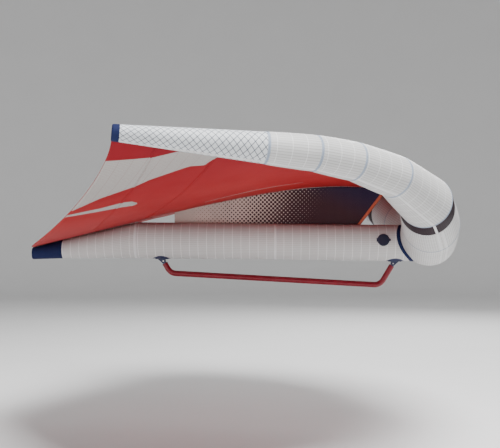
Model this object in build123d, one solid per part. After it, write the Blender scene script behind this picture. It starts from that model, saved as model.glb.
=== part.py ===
from build123d import *
import os
from math import asin, cos, degrees, radians, sin

# Hand-held inflatable wing. Millimetres. +X points forward to the nose, +Y to the left
# and +Z up. The origin is the middle of the boom's straight grip.

# ---------------------------------------------------------------- driving dimensions
# Leading-edge tube: mitre rings from the middle to the right-hand tip, each given as
# x, distance out from the middle, z and diameter.
RING_MIDDLE = (761, 0, 207, 278)
RING_INNER = (711, 417, 271, 261)
RING_SHOULDER = (632, 804, 363, 226)
RING_OUTER_1 = (475, 1033, 458, 172)
RING_OUTER_2 = (302, 1182, 509, 150)
RING_OUTER_3 = (145, 1286, 533, 136)
RING_OUTER_4 = (-38, 1355, 548, 119)
RING_TIP = (-590, 1450, 596, 60)
BAND_WIDTH = 125        # printed band of the tube, inside the shoulder ring
TIP_CAP_LENGTH = 26
SLEEVE_WALL = 1.2       # woven sleeve of every tube
BLADDER_WALL = 0.8
BLADDER_GAP = 0.5       # bladder to sleeve
STRUT_BLADDER_GAP = 2      # strut bladder to its sleeves
BLADDER_FRONT_GAP = 1.5     # strut bladder to the leading-edge tube
BLADDER_TAIL_GAP = 10       # strut bladder to the tail seam
SKIN_GAP = 0.4          # clearance where two soft skins meet

# Canopy. Its trailing edge is a cubic curve in plan, which rises with the square of
# the distance out from the middle.
TRAILING_EDGE_PLAN = [(-1203, 0), (-1147, 509), (-633, 1149), (-590, 1450)]
TRAILING_EDGE_Z = 159
TRAILING_EDGE_TIP_RISE = 436
CANOPY_THICKNESS = 1.2
CANOPY_LIFT = 4         # front hem above the tube
HEM_WIDTH = 45
HEM_THICKNESS = 1.8
HEM_STEPS = 4
FRONT_RISE_ANGLE = 37.6     # profile above its chord at the front, in the middle
REAR_RISE_ANGLE = 8.8       # and at the trailing edge
FRONT_HANDLE = 0.255        # lengths of the profile's end tangents, as shares of the chord
REAR_HANDLE = 0.474
# For each ring: where the hem sits on the tube, in degrees forward of its top, and the
# share of the middle profile's camber there.
CANOPY_STATIONS = [(33, 1.0), (22, 0.84), (8, 0.62), (-12, 0.44), (-28, 0.32),
                   (-42, 0.24), (-55, 0.16), (-60, 0.10)]
LAST_STATION_FROM_TIP = 40

# Strut: a round tube under the middle of the canopy, with a tapered tail.
STRUT_RADIUS = 87.5
STRUT_REAR_SEAM_X = -687
STRUT_MIDDLE_SEAM_X = 0
STRUT_FRONT_X = 700         # inside the leading-edge tube, which trims it
STRUT_REAR_SEAM_Z = 193
STRUT_SLOPE = -14 / 1307
TAIL_SEAM = (-1064, 147, 43)      # x, z, radius
TAIL_END = (-1203, 128, 28)
TAIL_CAP_WALL = 2
COLLAR_WIDTH = 18           # junction patch, measured off the leading-edge tube

# Web between the strut and the canopy.
WEB_REAR_X = -500
WEB_FRONT_BOTTOM_X = 407
WEB_FRONT_TOP_X = 536
WEB_FRONT_TOP_Z = 440
WEB_THICKNESS = 1.2
WEB_TAPE_WIDTH = 16

# Boom: a bent tube on two pinned feet.
BOOM_RADIUS = 14
BOOM_WALL = 2
BOOM_BEND_RADIUS = 50
BOOM_CORNER_X = 520
BOOM_CORNER_Z = 29.5        # the rear corner is this much up and the front one down
REAR_LEG_ANGLE = 120        # from +X, going up
FRONT_LEG_ANGLE = 59.1
FOOT_LENGTH = 30.5          # from the strut's underside to the tube's end
PIN_DISTANCE = 17           # from the strut's underside to the lock pin
PIN_RADIUS = 3.5
FIT = 0.05                  # radial running clearance
TONGUE_HALF = 6
EAR_THICKNESS = 6
EAR_TOP_WIDTH = 40
EAR_TIP_RADIUS = 11
TONGUE_RADIUS = 8.5
PAD_SIZE = (90, 96)         # oval reinforcement patch, along and across
FLANGE_SIZE = (66, 52)
PAD_THICKNESS = 2
FLANGE_THICKNESS = 3
PIN_HEAD_RADIUS = 6.5
PIN_HEAD_LENGTH = 3
EYE_LENGTH = 6
EYE_THICKNESS = 2.4
EYE_HOLE_RADIUS = 1.05
RING_WIRE_RADIUS = 0.9
RING_RADIUS = 9

# Inflation valve on the right-hand side of the strut.
VALVE_X = 528
VALVE_HEIGHT = 15           # above the strut's centre line
VALVE_FLANGE_RADIUS = 30
VALVE_RIM = 3               # flange's face above the strut's surface
VALVE_BODY_RADIUS = 19
VALVE_DEPTH = 22
PORT_RADIUS = 11.5          # bore that takes the pump's nozzle
PORT_DEPTH = 6
PORT_MOUTH = 0.5            # top of that bore, where the cap's seat begins
SEAT_RADIUS = 13            # wider seat for the cap's plug
PLUG_GAP = 0.3
PLUG_WALL = 2.2
THROAT_RADIUS = 10.5
STEM_RADIUS = 2
BUTTON_TOP = -6.5
SPRING_LENGTH = 8
POPPET_RADIUS = 14.5
VALVE_CAP_RADIUS = 28
CAP_THICKNESS = 3.5
CAP_HINGE = (-31, 4.6)      # across the valve and above the strut's surface
KNUCKLE_RADIUS = 2.6
HINGE_PIN_RADIUS = 1.2
HINGE_HALF = 9
SPRING_WIRE = 0.4
SPRING_RADIUS = 3

# Air port between the two bladders.
AIR_PORT_X = 620
PORT_TUBE_RADIUS = 9.5
PORT_TUBE_BORE = 7
PORT_FLANGE_RADIUS = 17
PORT_FLANGE_THICKNESS = 2
AIR_PORT_REAR_X = 616.5
AIR_PORT_FRONT_X = 633


# ---------------------------------------------------------------- helpers
def save(shape, node):
    export_step(shape, f"parts/{node}.step")


def save_pair(shape, stem):
    """Write a right-hand shape and its mirror image."""
    save(shape, f"{stem}_right")
    save(mirror(shape, about=Plane.XZ), f"{stem}_left")


def x_cylinder(radius, start, end, z):
    return Plane((start, 0, z), x_dir=(0, 1, 0), z_dir=(1, 0, 0)) * extrude(Circle(radius), end - start)


def y_cylinder(radius, start, end):
    return Plane((0, start, 0), x_dir=(1, 0, 0), z_dir=(0, 1, 0)) * extrude(Circle(radius), end - start)


# ---------------------------------------------------------------- leading-edge tube
class Ring:
    """A circle across the tube: its centre, the way the tube runs, and its diameter."""

    def __init__(self, centre, normal, diameter):
        self.centre = Vector(*centre)
        self.normal = Vector(*normal).normalized()
        self.diameter = diameter
        up = Vector(0, 0, 1) - self.normal * self.normal.Z
        self.up = up.normalized()
        self.front = self.up.cross(self.normal)

    def disc(self, grow=0):
        plane = Plane(self.centre, x_dir=self.front, z_dir=self.normal)
        return plane * Circle(self.diameter / 2 + grow)

    def point(self, angle, grow=0):
        """A point of the rim, the angle in degrees forward of the top."""
        reach = self.diameter / 2 + grow
        turn = radians(angle)
        return self.centre + (self.up * cos(turn) + self.front * sin(turn)) * reach

    def mirrored(self):
        centre = (self.centre.X, -self.centre.Y, self.centre.Z)
        return Ring(centre, (-self.normal.X, self.normal.Y, -self.normal.Z), self.diameter)


def make_rings():
    table = [RING_MIDDLE, RING_INNER, RING_SHOULDER, RING_OUTER_1,
             RING_OUTER_2, RING_OUTER_3, RING_OUTER_4, RING_TIP]
    centres = [Vector(x, -out, z) for x, out, z, _ in table]
    runs = [(b - a).normalized() for a, b in zip(centres, centres[1:])]
    normals = [Vector(0, -1, 0)] + [a + b for a, b in zip(runs, runs[1:])] + [runs[-1]]
    return [Ring(c, n, row[3]) for c, n, row in zip(centres, normals, table)]


def ring_before(start, end, distance):
    """The ring square across a panel, that far short of its end."""
    run = end.centre - start.centre
    share = 1 - distance / run.length
    diameter = start.diameter + (end.diameter - start.diameter) * share
    return Ring(start.centre + run * share, run, diameter)


def tube(rings, grow=0):
    return loft([ring.disc(grow) for ring in rings], ruled=True)


def panel(start, end, grow=0):
    """A round straight panel from ring to ring, cut on the rings' planes."""
    run = end.centre - start.centre
    over = start.diameter / 2       # length past each ring, for the slanted cuts
    taper = (end.diameter - start.diameter) / 2 / run.length
    low = start.diameter / 2 + grow - taper * over
    high = end.diameter / 2 + grow + taper * over
    height = run.length + 2 * over
    body = Cone(low, high, height) if taper else Cylinder(low, height)
    body = Plane(start.centre + run / 2, z_dir=run) * body
    for ring, keep in ((start, Keep.TOP), (end, Keep.BOTTOM)):
        body = split(body, bisect_by=Plane(ring.centre, z_dir=ring.normal), keep=keep)
    return body


def sleeve(start, end):
    return panel(start, end) - panel(start, end, -SLEEVE_WALL)


rings = make_rings()
middle, inner, shoulder, tip = rings[0], rings[1], rings[2], rings[7]
band = ring_before(inner, shoulder, BAND_WIDTH)


def middle_tube(grow):
    half = panel(middle, inner, grow)
    return half + mirror(half, about=Plane.XZ)


def full_tube(grow, end_gap):
    right = rings[:-1] + [ring_before(rings[6], tip, end_gap)]
    left = [ring.mirrored() for ring in right[1:]]
    return tube(right[::-1] + left, grow)


def air_port_hole():
    return x_cylinder(PORT_TUBE_RADIUS + 0.2, AIR_PORT_REAR_X - 30, AIR_PORT_FRONT_X + 30, air_port_z)


def leading_edge():
    save(middle_tube(0) - middle_tube(-SLEEVE_WALL) - air_port_hole(), "leading_edge_middle_sleeve")
    save_pair(sleeve(inner, band), "leading_edge_inner_sleeve")
    save_pair(sleeve(band, shoulder), "leading_edge_band")
    save_pair(sleeve(shoulder, rings[3]), "leading_edge_shoulder_sleeve")
    for number in range(3, 6):
        save_pair(sleeve(rings[number], rings[number + 1]), f"leading_edge_outer_sleeve_{number - 2}")
    save_pair(sleeve(rings[6], tip), "leading_edge_tip_sleeve")
    cap_start = ring_before(rings[6], tip, TIP_CAP_LENGTH)
    cap_end = ring_before(rings[6], tip, -3)
    cap_floor = ring_before(rings[6], tip, -0.3)
    cap = panel(cap_start, cap_end, 1.5) - panel(cap_start, cap_floor, 0.3)
    save_pair(cap, "leading_edge_tip_cap")
    skin = SLEEVE_WALL + BLADDER_GAP
    bladder = full_tube(-skin, 6) - full_tube(-skin - BLADDER_WALL, 8)
    save(bladder - air_port_hole(), "leading_edge_bladder")


# ---------------------------------------------------------------- strut
def strut_z(x):
    return STRUT_REAR_SEAM_Z + STRUT_SLOPE * (x - STRUT_REAR_SEAM_X)


def strut_ring(x, z, radius):
    return Ring((x, 0, z), (1, 0, 0), 2 * radius)


def strut_body(start, end, grow=0):
    ends = [strut_ring(x, strut_z(x), STRUT_RADIUS) for x in (start, end)]
    return panel(*ends, grow)


tail_ring = strut_ring(*TAIL_SEAM)
root_ring = strut_ring(STRUT_REAR_SEAM_X, STRUT_REAR_SEAM_Z, STRUT_RADIUS)


def strut_taper(grow=0):
    return panel(tail_ring, root_ring, grow)


def strut():
    front = strut_body(STRUT_MIDDLE_SEAM_X, STRUT_FRONT_X)
    front -= strut_body(STRUT_MIDDLE_SEAM_X, STRUT_FRONT_X, -SLEEVE_WALL)
    front -= middle_tube(SKIN_GAP)
    front -= valve_plane.location * Cylinder(VALVE_BODY_RADIUS + 0.3, 80)
    save(front, "strut_front_sleeve")
    rear_seam, middle_seam = STRUT_REAR_SEAM_X, STRUT_MIDDLE_SEAM_X
    body = strut_body(rear_seam, middle_seam) - strut_body(rear_seam, middle_seam, -SLEEVE_WALL)
    save(body, "strut_middle_sleeve")
    save(strut_taper() - strut_taper(-SLEEVE_WALL), "strut_rear_sleeve")
    end_ring = strut_ring(*TAIL_END)
    floor_ring = ring_before(tail_ring, end_ring, TAIL_CAP_WALL)
    floor_ring = strut_ring(floor_ring.centre.X, floor_ring.centre.Z, floor_ring.diameter / 2)
    cap = panel(end_ring, tail_ring) - panel(floor_ring, tail_ring, -TAIL_CAP_WALL)
    save(cap, "strut_tail_cap")
    save(junction_collar(), "junction_collar")
    save(strut_bladder(), "strut_bladder")


def strut_bladder():
    skin = SLEEVE_WALL + STRUT_BLADDER_GAP
    tail = ring_before(root_ring, tail_ring, BLADDER_TAIL_GAP)
    front = strut_ring(STRUT_FRONT_X, strut_z(STRUT_FRONT_X), STRUT_RADIUS)
    solids = []
    for extra in (0, BLADDER_WALL):
        end = strut_ring(tail.centre.X + extra, tail.centre.Z, tail.diameter / 2)
        body = tube([end, root_ring, front], -skin - extra)
        solids.append(body - middle_tube(BLADDER_FRONT_GAP + extra))
    bladder = solids[0] - solids[1]
    bladder -= valve_plane.location * Cylinder(VALVE_BODY_RADIUS + 0.3, 80)
    return bladder - air_port_hole()


def junction_collar():
    """A patch round the strut that follows the leading-edge tube's back."""
    start = VALVE_X
    ring = strut_body(start, STRUT_FRONT_X, 1.7) - strut_body(start, STRUT_FRONT_X, SKIN_GAP)
    return (ring & middle_tube(COLLAR_WIDTH)) - middle_tube(SKIN_GAP)


# ---------------------------------------------------------------- canopy
def cubic(points, share):
    """A point of the cubic curve on four control points."""
    a, b, c, d = points
    rest = 1 - share
    return (a * rest ** 3 + b * (3 * rest ** 2 * share)
            + c * (3 * rest * share ** 2) + d * share ** 3)


def cubic_halves(points, share):
    """The same curve's control points before and after a split."""
    level = [list(points)]
    while len(level[-1]) > 1:
        row = level[-1]
        level.append([a + (b - a) * share for a, b in zip(row, row[1:])])
    return [row[0] for row in level], [row[-1] for row in reversed(level)]


def trailing_edge(out):
    """The trailing edge's point that far out on the right-hand side."""
    plan = [Vector(x, y, 0) for x, y in TRAILING_EDGE_PLAN]
    low, high = 0.0, 1.0
    for _ in range(40):
        share = (low + high) / 2
        if cubic(plan, share).Y < out:
            low = share
        else:
            high = share
    tip_out = TRAILING_EDGE_PLAN[-1][1]
    rise = TRAILING_EDGE_TIP_RISE * (out / tip_out) ** 2
    return Vector(cubic(plan, low).X, -out, TRAILING_EDGE_Z + rise)


def profile(ring, hem_angle, camber):
    """Control points of one chordwise profile, from the tube back."""
    front = ring.point(hem_angle, CANOPY_LIFT)
    rear = trailing_edge(-front.Y)
    chord = front - rear
    slope = degrees(asin(chord.Z / chord.length))
    front_angle = radians(FRONT_RISE_ANGLE * camber - slope)
    rear_angle = radians(REAR_RISE_ANGLE * camber + slope)
    front_handle = Vector(-cos(front_angle), 0, sin(front_angle)) * (FRONT_HANDLE * chord.length)
    rear_handle = Vector(cos(rear_angle), 0, sin(rear_angle)) * (REAR_HANDLE * chord.length)
    return [front, front + front_handle, rear + rear_handle, rear]


def strip_section(points, thickness):
    """A thin closed section below a cubic curve."""
    drop = Vector(0, 0, -thickness)
    lower = [p + drop for p in points]
    outline = Wire([Bezier(*points), Line(points[-1], lower[-1]),
                    Bezier(*lower[::-1]), Line(lower[0], points[0])])
    return make_face(outline)


def canopy_profiles():
    last = ring_before(rings[6], tip, LAST_STATION_FROM_TIP)
    return [profile(ring, angle, camber)
            for ring, (angle, camber) in zip(rings[:-1] + [last], CANOPY_STATIONS)]


def blend(inner, outer, share):
    return [a + (b - a) * share for a, b in zip(inner, outer)]


def canopy():
    panels, hems = [], []
    for points in canopy_profiles():
        chord = (points[0] - points[3]).length
        width = min(HEM_WIDTH, chord / 4)
        front, rear = cubic_halves(points, 1 - width / (3 * (points[3] - points[2]).length))
        panels.append(strip_section(front, CANOPY_THICKNESS))
        hems.append(rear)
    save_pair(loft(panels, ruled=True), "canopy")
    # Extra sections on the same straight lines keep each face of the hem nearly flat.
    sections = [blend(inner, outer, step / HEM_STEPS)
                for inner, outer in zip(hems, hems[1:]) for step in range(HEM_STEPS)]
    sections = [strip_section(points, HEM_THICKNESS) for points in sections + hems[-1:]]
    save_pair(loft(sections, ruled=True), "trailing_edge_hem")


def web():
    """The upright web, and the tape on its front edge."""
    points = canopy_profiles()[0]
    under = [p + Vector(0, 0, -CANOPY_THICKNESS - SKIN_GAP) for p in points]
    rear_end, front_end = (under[3].X, under[3].Z), (under[0].X, under[0].Z)
    ceiling = make_face(Wire([Bezier(*under), Line(under[3], under[0])]))
    roof = ceiling + upright_face([rear_end, front_end, (front_end[0], 0), (rear_end[0], 0)])

    bottom = strut_z(WEB_REAR_X) + STRUT_RADIUS + SKIN_GAP
    front_x = WEB_FRONT_BOTTOM_X
    front_z = strut_z(front_x) + STRUT_RADIUS + SKIN_GAP
    lean = (WEB_FRONT_TOP_X - front_x) / (WEB_FRONT_TOP_Z - front_z)
    top_z = WEB_FRONT_TOP_Z + 40        # above the canopy, which trims it
    top_x = front_x + lean * (top_z - front_z)
    tape = WEB_TAPE_WIDTH
    web_outline = [(WEB_REAR_X, bottom), (front_x, front_z), (top_x, top_z), (WEB_REAR_X, top_z)]
    tape_outline = [(front_x, front_z), (front_x + tape, front_z), (top_x + tape, top_z), (top_x, top_z)]
    for outline, node in ((web_outline, "canopy_web"), (tape_outline, "web_front_tape")):
        face = upright_face(outline) & roof
        save(extrude(face, WEB_THICKNESS / 2, dir=(0, 1, 0), both=True), node)


def upright_face(outline):
    """A flat face in the middle plane, from x and z pairs."""
    return make_face(Polyline(*[(x, 0, z) for x, z in outline], close=True))


# ---------------------------------------------------------------- boom and its feet
class Foot:
    """One end of the boom: the leg's line, and where it meets the strut's underside."""

    def __init__(self, corner, angle):
        self.up = Vector(cos(radians(angle)), 0, sin(radians(angle)))
        lean = self.up.X / self.up.Z
        drop = strut_z(corner[0]) - STRUT_RADIUS - corner[1]
        root_x = corner[0] + lean * drop / (1 - lean * STRUT_SLOPE)
        self.root = Vector(root_x, 0, strut_z(root_x) - STRUT_RADIUS)
        self.tube_end = self.root - self.up * FOOT_LENGTH
        self.pin = self.root - self.up * PIN_DISTANCE
        self.plane = Plane(self.root, x_dir=(0, 1, 0), z_dir=self.up * -1)


rear_corner = (-BOOM_CORNER_X, BOOM_CORNER_Z)
front_corner = (BOOM_CORNER_X, -BOOM_CORNER_Z)
feet = {"rear": Foot(rear_corner, REAR_LEG_ANGLE), "front": Foot(front_corner, FRONT_LEG_ANGLE)}


def boom():
    ends = [feet["rear"].tube_end, Vector(rear_corner[0], 0, rear_corner[1]),
            Vector(front_corner[0], 0, front_corner[1]), feet["front"].tube_end]
    path = FilletPolyline(*ends, radius=BOOM_BEND_RADIUS)
    start = Plane(path @ 0, z_dir=path % 0)
    wall = start * (Circle(BOOM_RADIUS) - Circle(BOOM_RADIUS - BOOM_WALL))
    save(sweep(wall, path=path), "boom_tube")


def oval_on_strut(foot, size, low, high):
    """An oval patch of the strut's underside, between two heights off its skin."""
    x = foot.root.X
    shell = strut_body(x - 60, x + 60, high) - strut_body(x - 60, x + 60, low)
    oval = Plane((x, 0, foot.root.Z - 30)) * Ellipse(size[0] / 2, size[1] / 2)
    return shell & extrude(oval, 80)


def ear_outline(foot, flat):
    """The foot's side view: wide at the strut, round about the pin."""
    half = EAR_TOP_WIDTH / 2
    top_z = foot.root.Z - flat
    x, pin = foot.root.X, foot.pin
    across = Vector(foot.up.Z, 0, -foot.up.X) * EAR_TIP_RADIUS
    left, right = pin - across, pin + across
    tip_point = pin - foot.up * EAR_TIP_RADIUS
    top_left, top_right = Vector(x - half, 0, top_z), Vector(x + half, 0, top_z)
    outline = Wire([Line(top_left, left), ThreePointArc(left, tip_point, right),
                    Line(right, top_right), Line(top_right, top_left)])
    return make_face(outline)


def boom_foot(name, foot):
    low = 0.3
    save(oval_on_strut(foot, PAD_SIZE, low, low + PAD_THICKNESS), f"{name}_foot_pad")
    seat = low + PAD_THICKNESS + 0.3
    flange = oval_on_strut(foot, FLANGE_SIZE, seat, seat + FLANGE_THICKNESS)
    inside = TONGUE_HALF + FIT
    ears = extrude(ear_outline(foot, seat + 1.2), inside + EAR_THICKNESS, dir=(0, 1, 0), both=True)
    gap = extrude(ear_outline(foot, seat + FLANGE_THICKNESS), inside, dir=(0, 1, 0), both=True)
    room = Location(foot.pin) * y_cylinder(TONGUE_RADIUS + 0.4, -inside, inside)
    pin_hole = Location(foot.pin) * y_cylinder(PIN_RADIUS + FIT, -30, 30)
    lower = foot.plane * Pos(0, 0, PIN_DISTANCE + 15) * Box(2 * inside, 40, 30)
    save(flange + (ears - gap - room - lower) - pin_hole, f"{name}_foot_bracket")
    save(boom_plug(foot) - pin_hole, f"{name}_boom_plug")
    pin, ring = lock_pin(foot)
    save(pin, f"{name}_lock_pin")
    save(ring, f"{name}_pull_ring")


def boom_plug(foot):
    """A flat tongue, a collar against the tube's end and a spigot inside it."""
    tongue = Location(foot.pin) * y_cylinder(TONGUE_RADIUS, -TONGUE_HALF, TONGUE_HALF)
    length = FOOT_LENGTH - PIN_DISTANCE - 2
    shank = Pos(0, 0, PIN_DISTANCE + length / 2) * Box(2 * TONGUE_HALF, 2 * TONGUE_RADIUS, length)
    collar = Pos(0, 0, FOOT_LENGTH - 1.05) * Cylinder(BOOM_RADIUS, 2.1)
    spigot = Pos(0, 0, FOOT_LENGTH + 11.9) * Cylinder(BOOM_RADIUS - BOOM_WALL - FIT, 24)
    return tongue + foot.plane * (shank + collar + spigot)


def lock_pin(foot):
    """A headed pin with an eye, and the ring that hangs in the eye."""
    reach = TONGUE_HALF + FIT + EAR_THICKNESS
    head_end = reach + 0.2 + PIN_HEAD_LENGTH
    shaft = y_cylinder(PIN_RADIUS, -reach - 1.5, reach + 0.5)
    head = y_cylinder(PIN_HEAD_RADIUS, reach + 0.2, head_end)
    eye = Pos(0, head_end + EYE_LENGTH / 2, 0) * Box(EYE_THICKNESS, EYE_LENGTH + 0.4, 5)
    hole_y = head_end + EYE_LENGTH - 2.4
    hole = Plane((-5, hole_y, 0), x_dir=(0, 1, 0), z_dir=(1, 0, 0)) * extrude(Circle(EYE_HOLE_RADIUS), 10)
    loop = Plane((0, hole_y, -RING_RADIUS), x_dir=(1, 0, 0), z_dir=(0, 1, 0))
    ring = loop * Torus(RING_RADIUS, RING_WIRE_RADIUS)
    place = Location(foot.pin)
    return place * (shaft + head + eye - hole), place * ring


# ---------------------------------------------------------------- valve
valve_tilt = asin(VALVE_HEIGHT / STRUT_RADIUS)
valve_out = Vector(0, -cos(valve_tilt), sin(valve_tilt))
valve_origin = Vector(VALVE_X, 0, strut_z(VALVE_X)) + valve_out * STRUT_RADIUS
valve_plane = Plane(valve_origin, x_dir=(1, 0, 0), z_dir=valve_out)


def post(radius, low, high):
    """A cylinder on the valve's axis, between two heights."""
    return Pos(0, 0, (low + high) / 2) * Cylinder(radius, high - low)


def hinge_rod(radius, start, end):
    return Pos(CAP_HINGE[0], 0, CAP_HINGE[1]) * y_cylinder(radius, start, end)


def valve_base():
    bore = post(PORT_RADIUS, -PORT_DEPTH, PORT_MOUTH + 1) + post(SEAT_RADIUS, PORT_MOUTH, VALVE_RIM + 1)
    bore += post(THROAT_RADIUS, -VALVE_DEPTH - 1, 0)
    button_low = BUTTON_TOP - 2
    guide_top = button_low - SPRING_LENGTH
    spokes = Box(2 * THROAT_RADIUS + 2, 2.4, 2) + Box(2.4, 2 * THROAT_RADIUS + 2, 2) + Cylinder(3.6, 2)
    guide = Pos(0, 0, guide_top - 1) * spokes - post(STEM_RADIUS + FIT, -40, 10)
    lugs = hinge_rod(KNUCKLE_RADIUS, 5, 9) + Pos(-31, 7, 2.7) * Box(5.2, 4, 3.8)
    lugs += mirror(lugs, about=Plane.XZ)
    strut_skin = valve_plane.location.inverse() * strut_body(VALVE_X - 60, VALVE_X + 60, 0.3)
    flange = post(VALVE_FLANGE_RADIUS, -10, VALVE_RIM) - strut_skin
    flange -= hinge_rod(KNUCKLE_RADIUS + 0.3, -5, 5)
    body = post(VALVE_BODY_RADIUS, -VALVE_DEPTH, VALVE_RIM)
    reach = HINGE_HALF + 0.1
    return (flange + body + lugs - bore + guide) - hinge_rod(HINGE_PIN_RADIUS, -reach, reach)


def valve_cap():
    disc = fillet(post(VALVE_CAP_RADIUS, VALVE_RIM + 0.2, VALVE_RIM + 0.2 + CAP_THICKNESS)
                  .edges().group_by(Axis.Z)[-1], 1.5)
    tab = make_face(Polyline((20, -11), (36, -4), (36, 4), (20, 11), close=True))
    tab = Pos(0, 0, VALVE_RIM + 0.8) * extrude(tab, 2)
    plug_radius = SEAT_RADIUS - PLUG_GAP
    plug = post(plug_radius, PORT_MOUTH + PLUG_GAP, VALVE_RIM + 1)
    plug -= post(plug_radius - PLUG_WALL, 0, VALVE_RIM + 0.2)
    arm = Pos(-28, 0, CAP_HINGE[1]) * Box(6, 9.8, 2) + hinge_rod(KNUCKLE_RADIUS, -4.9, 4.9)
    return disc + tab + plug + arm - hinge_rod(HINGE_PIN_RADIUS + FIT, -10, 10)


def valve():
    button_low = BUTTON_TOP - 2
    guide_top = button_low - SPRING_LENGTH
    stem = post(STEM_RADIUS, -VALVE_DEPTH - 2.9, BUTTON_TOP) + post(4, button_low, BUTTON_TOP)
    stem += post(POPPET_RADIUS, -VALVE_DEPTH - 2.9, -VALVE_DEPTH - 0.9)
    seal = post(POPPET_RADIUS - 0.5, -VALVE_DEPTH - 0.9, -VALVE_DEPTH) - post(THROAT_RADIUS + 0.5, -40, 0)
    height = SPRING_LENGTH - 2 * SPRING_WIRE - 0.1
    coil = Helix(pitch=height / 4, height=height, radius=SPRING_RADIUS)
    spring = sweep(Plane(coil @ 0, z_dir=coil % 0) * Circle(SPRING_WIRE), path=coil, is_frenet=True)
    place = valve_plane.location
    save(place * valve_base(), "valve_base")
    save(place * stem, "valve_poppet")
    save(place * seal, "valve_seal")
    save(place * Pos(0, 0, guide_top + SPRING_WIRE + 0.05) * spring, "valve_spring")
    save(place * valve_cap(), "valve_cap")
    save(place * hinge_rod(HINGE_PIN_RADIUS, -HINGE_HALF, HINGE_HALF), "valve_hinge_pin")


# ---------------------------------------------------------------- air port
air_port_z = strut_z(AIR_PORT_X)


def air_port():
    rear, front = AIR_PORT_REAR_X, AIR_PORT_FRONT_X
    flange = PORT_FLANGE_THICKNESS
    pipe = x_cylinder(PORT_TUBE_RADIUS, rear, front + flange, air_port_z)
    pipe += x_cylinder(PORT_FLANGE_RADIUS, front, front + flange, air_port_z)
    save(pipe - x_cylinder(PORT_TUBE_BORE, rear - 1, front + flange + 1, air_port_z), "air_port")
    nut = x_cylinder(PORT_FLANGE_RADIUS, rear - 0.5, rear - 0.5 + flange, air_port_z)
    save(nut - x_cylinder(PORT_TUBE_RADIUS + FIT, rear - 1, rear + 2 * flange, air_port_z), "air_port_nut")


os.makedirs("parts", exist_ok=True)
leading_edge()
strut()
canopy()
web()
boom()
for foot_name, one_foot in feet.items():
    boom_foot(foot_name, one_foot)
valve()
air_port()
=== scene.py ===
"""Hand-held inflatable wing: the finished look of every piece, in metres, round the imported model."""

import logging
import math
from dataclasses import dataclass, field
from enum import Enum

import bmesh
import bpy
import numpy as np
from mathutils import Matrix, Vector


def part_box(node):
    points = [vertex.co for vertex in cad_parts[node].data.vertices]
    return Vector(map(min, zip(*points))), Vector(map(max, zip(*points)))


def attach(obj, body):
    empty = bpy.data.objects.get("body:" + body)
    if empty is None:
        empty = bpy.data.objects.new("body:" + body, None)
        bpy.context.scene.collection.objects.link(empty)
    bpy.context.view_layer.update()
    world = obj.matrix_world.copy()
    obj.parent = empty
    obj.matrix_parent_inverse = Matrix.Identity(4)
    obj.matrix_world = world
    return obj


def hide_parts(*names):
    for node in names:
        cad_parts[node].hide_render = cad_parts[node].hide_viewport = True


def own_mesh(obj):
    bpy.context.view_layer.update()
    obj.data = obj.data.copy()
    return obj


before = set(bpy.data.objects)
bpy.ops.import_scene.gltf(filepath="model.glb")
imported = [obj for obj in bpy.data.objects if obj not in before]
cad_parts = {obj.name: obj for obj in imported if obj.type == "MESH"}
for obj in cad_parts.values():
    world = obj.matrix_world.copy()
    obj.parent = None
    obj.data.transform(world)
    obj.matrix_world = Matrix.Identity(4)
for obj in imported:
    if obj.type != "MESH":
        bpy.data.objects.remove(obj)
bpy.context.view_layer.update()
LOG = logging.getLogger("wing")

Array = np.ndarray
Value = float | tuple | bpy.types.NodeSocket
WEAVE_MAP = "weave"
FORWARD = np.array([1.0, 0.0, 0.0])
UPWARD = np.array([0.0, 0.0, 1.0])


class Side(Enum):
    """The two halves of the wing, with the sign that Y has on each."""

    RIGHT = -1
    LEFT = 1

    @property
    def label(self) -> str:
        """The word that ends a piece's name."""
        return self.name.lower()


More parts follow.
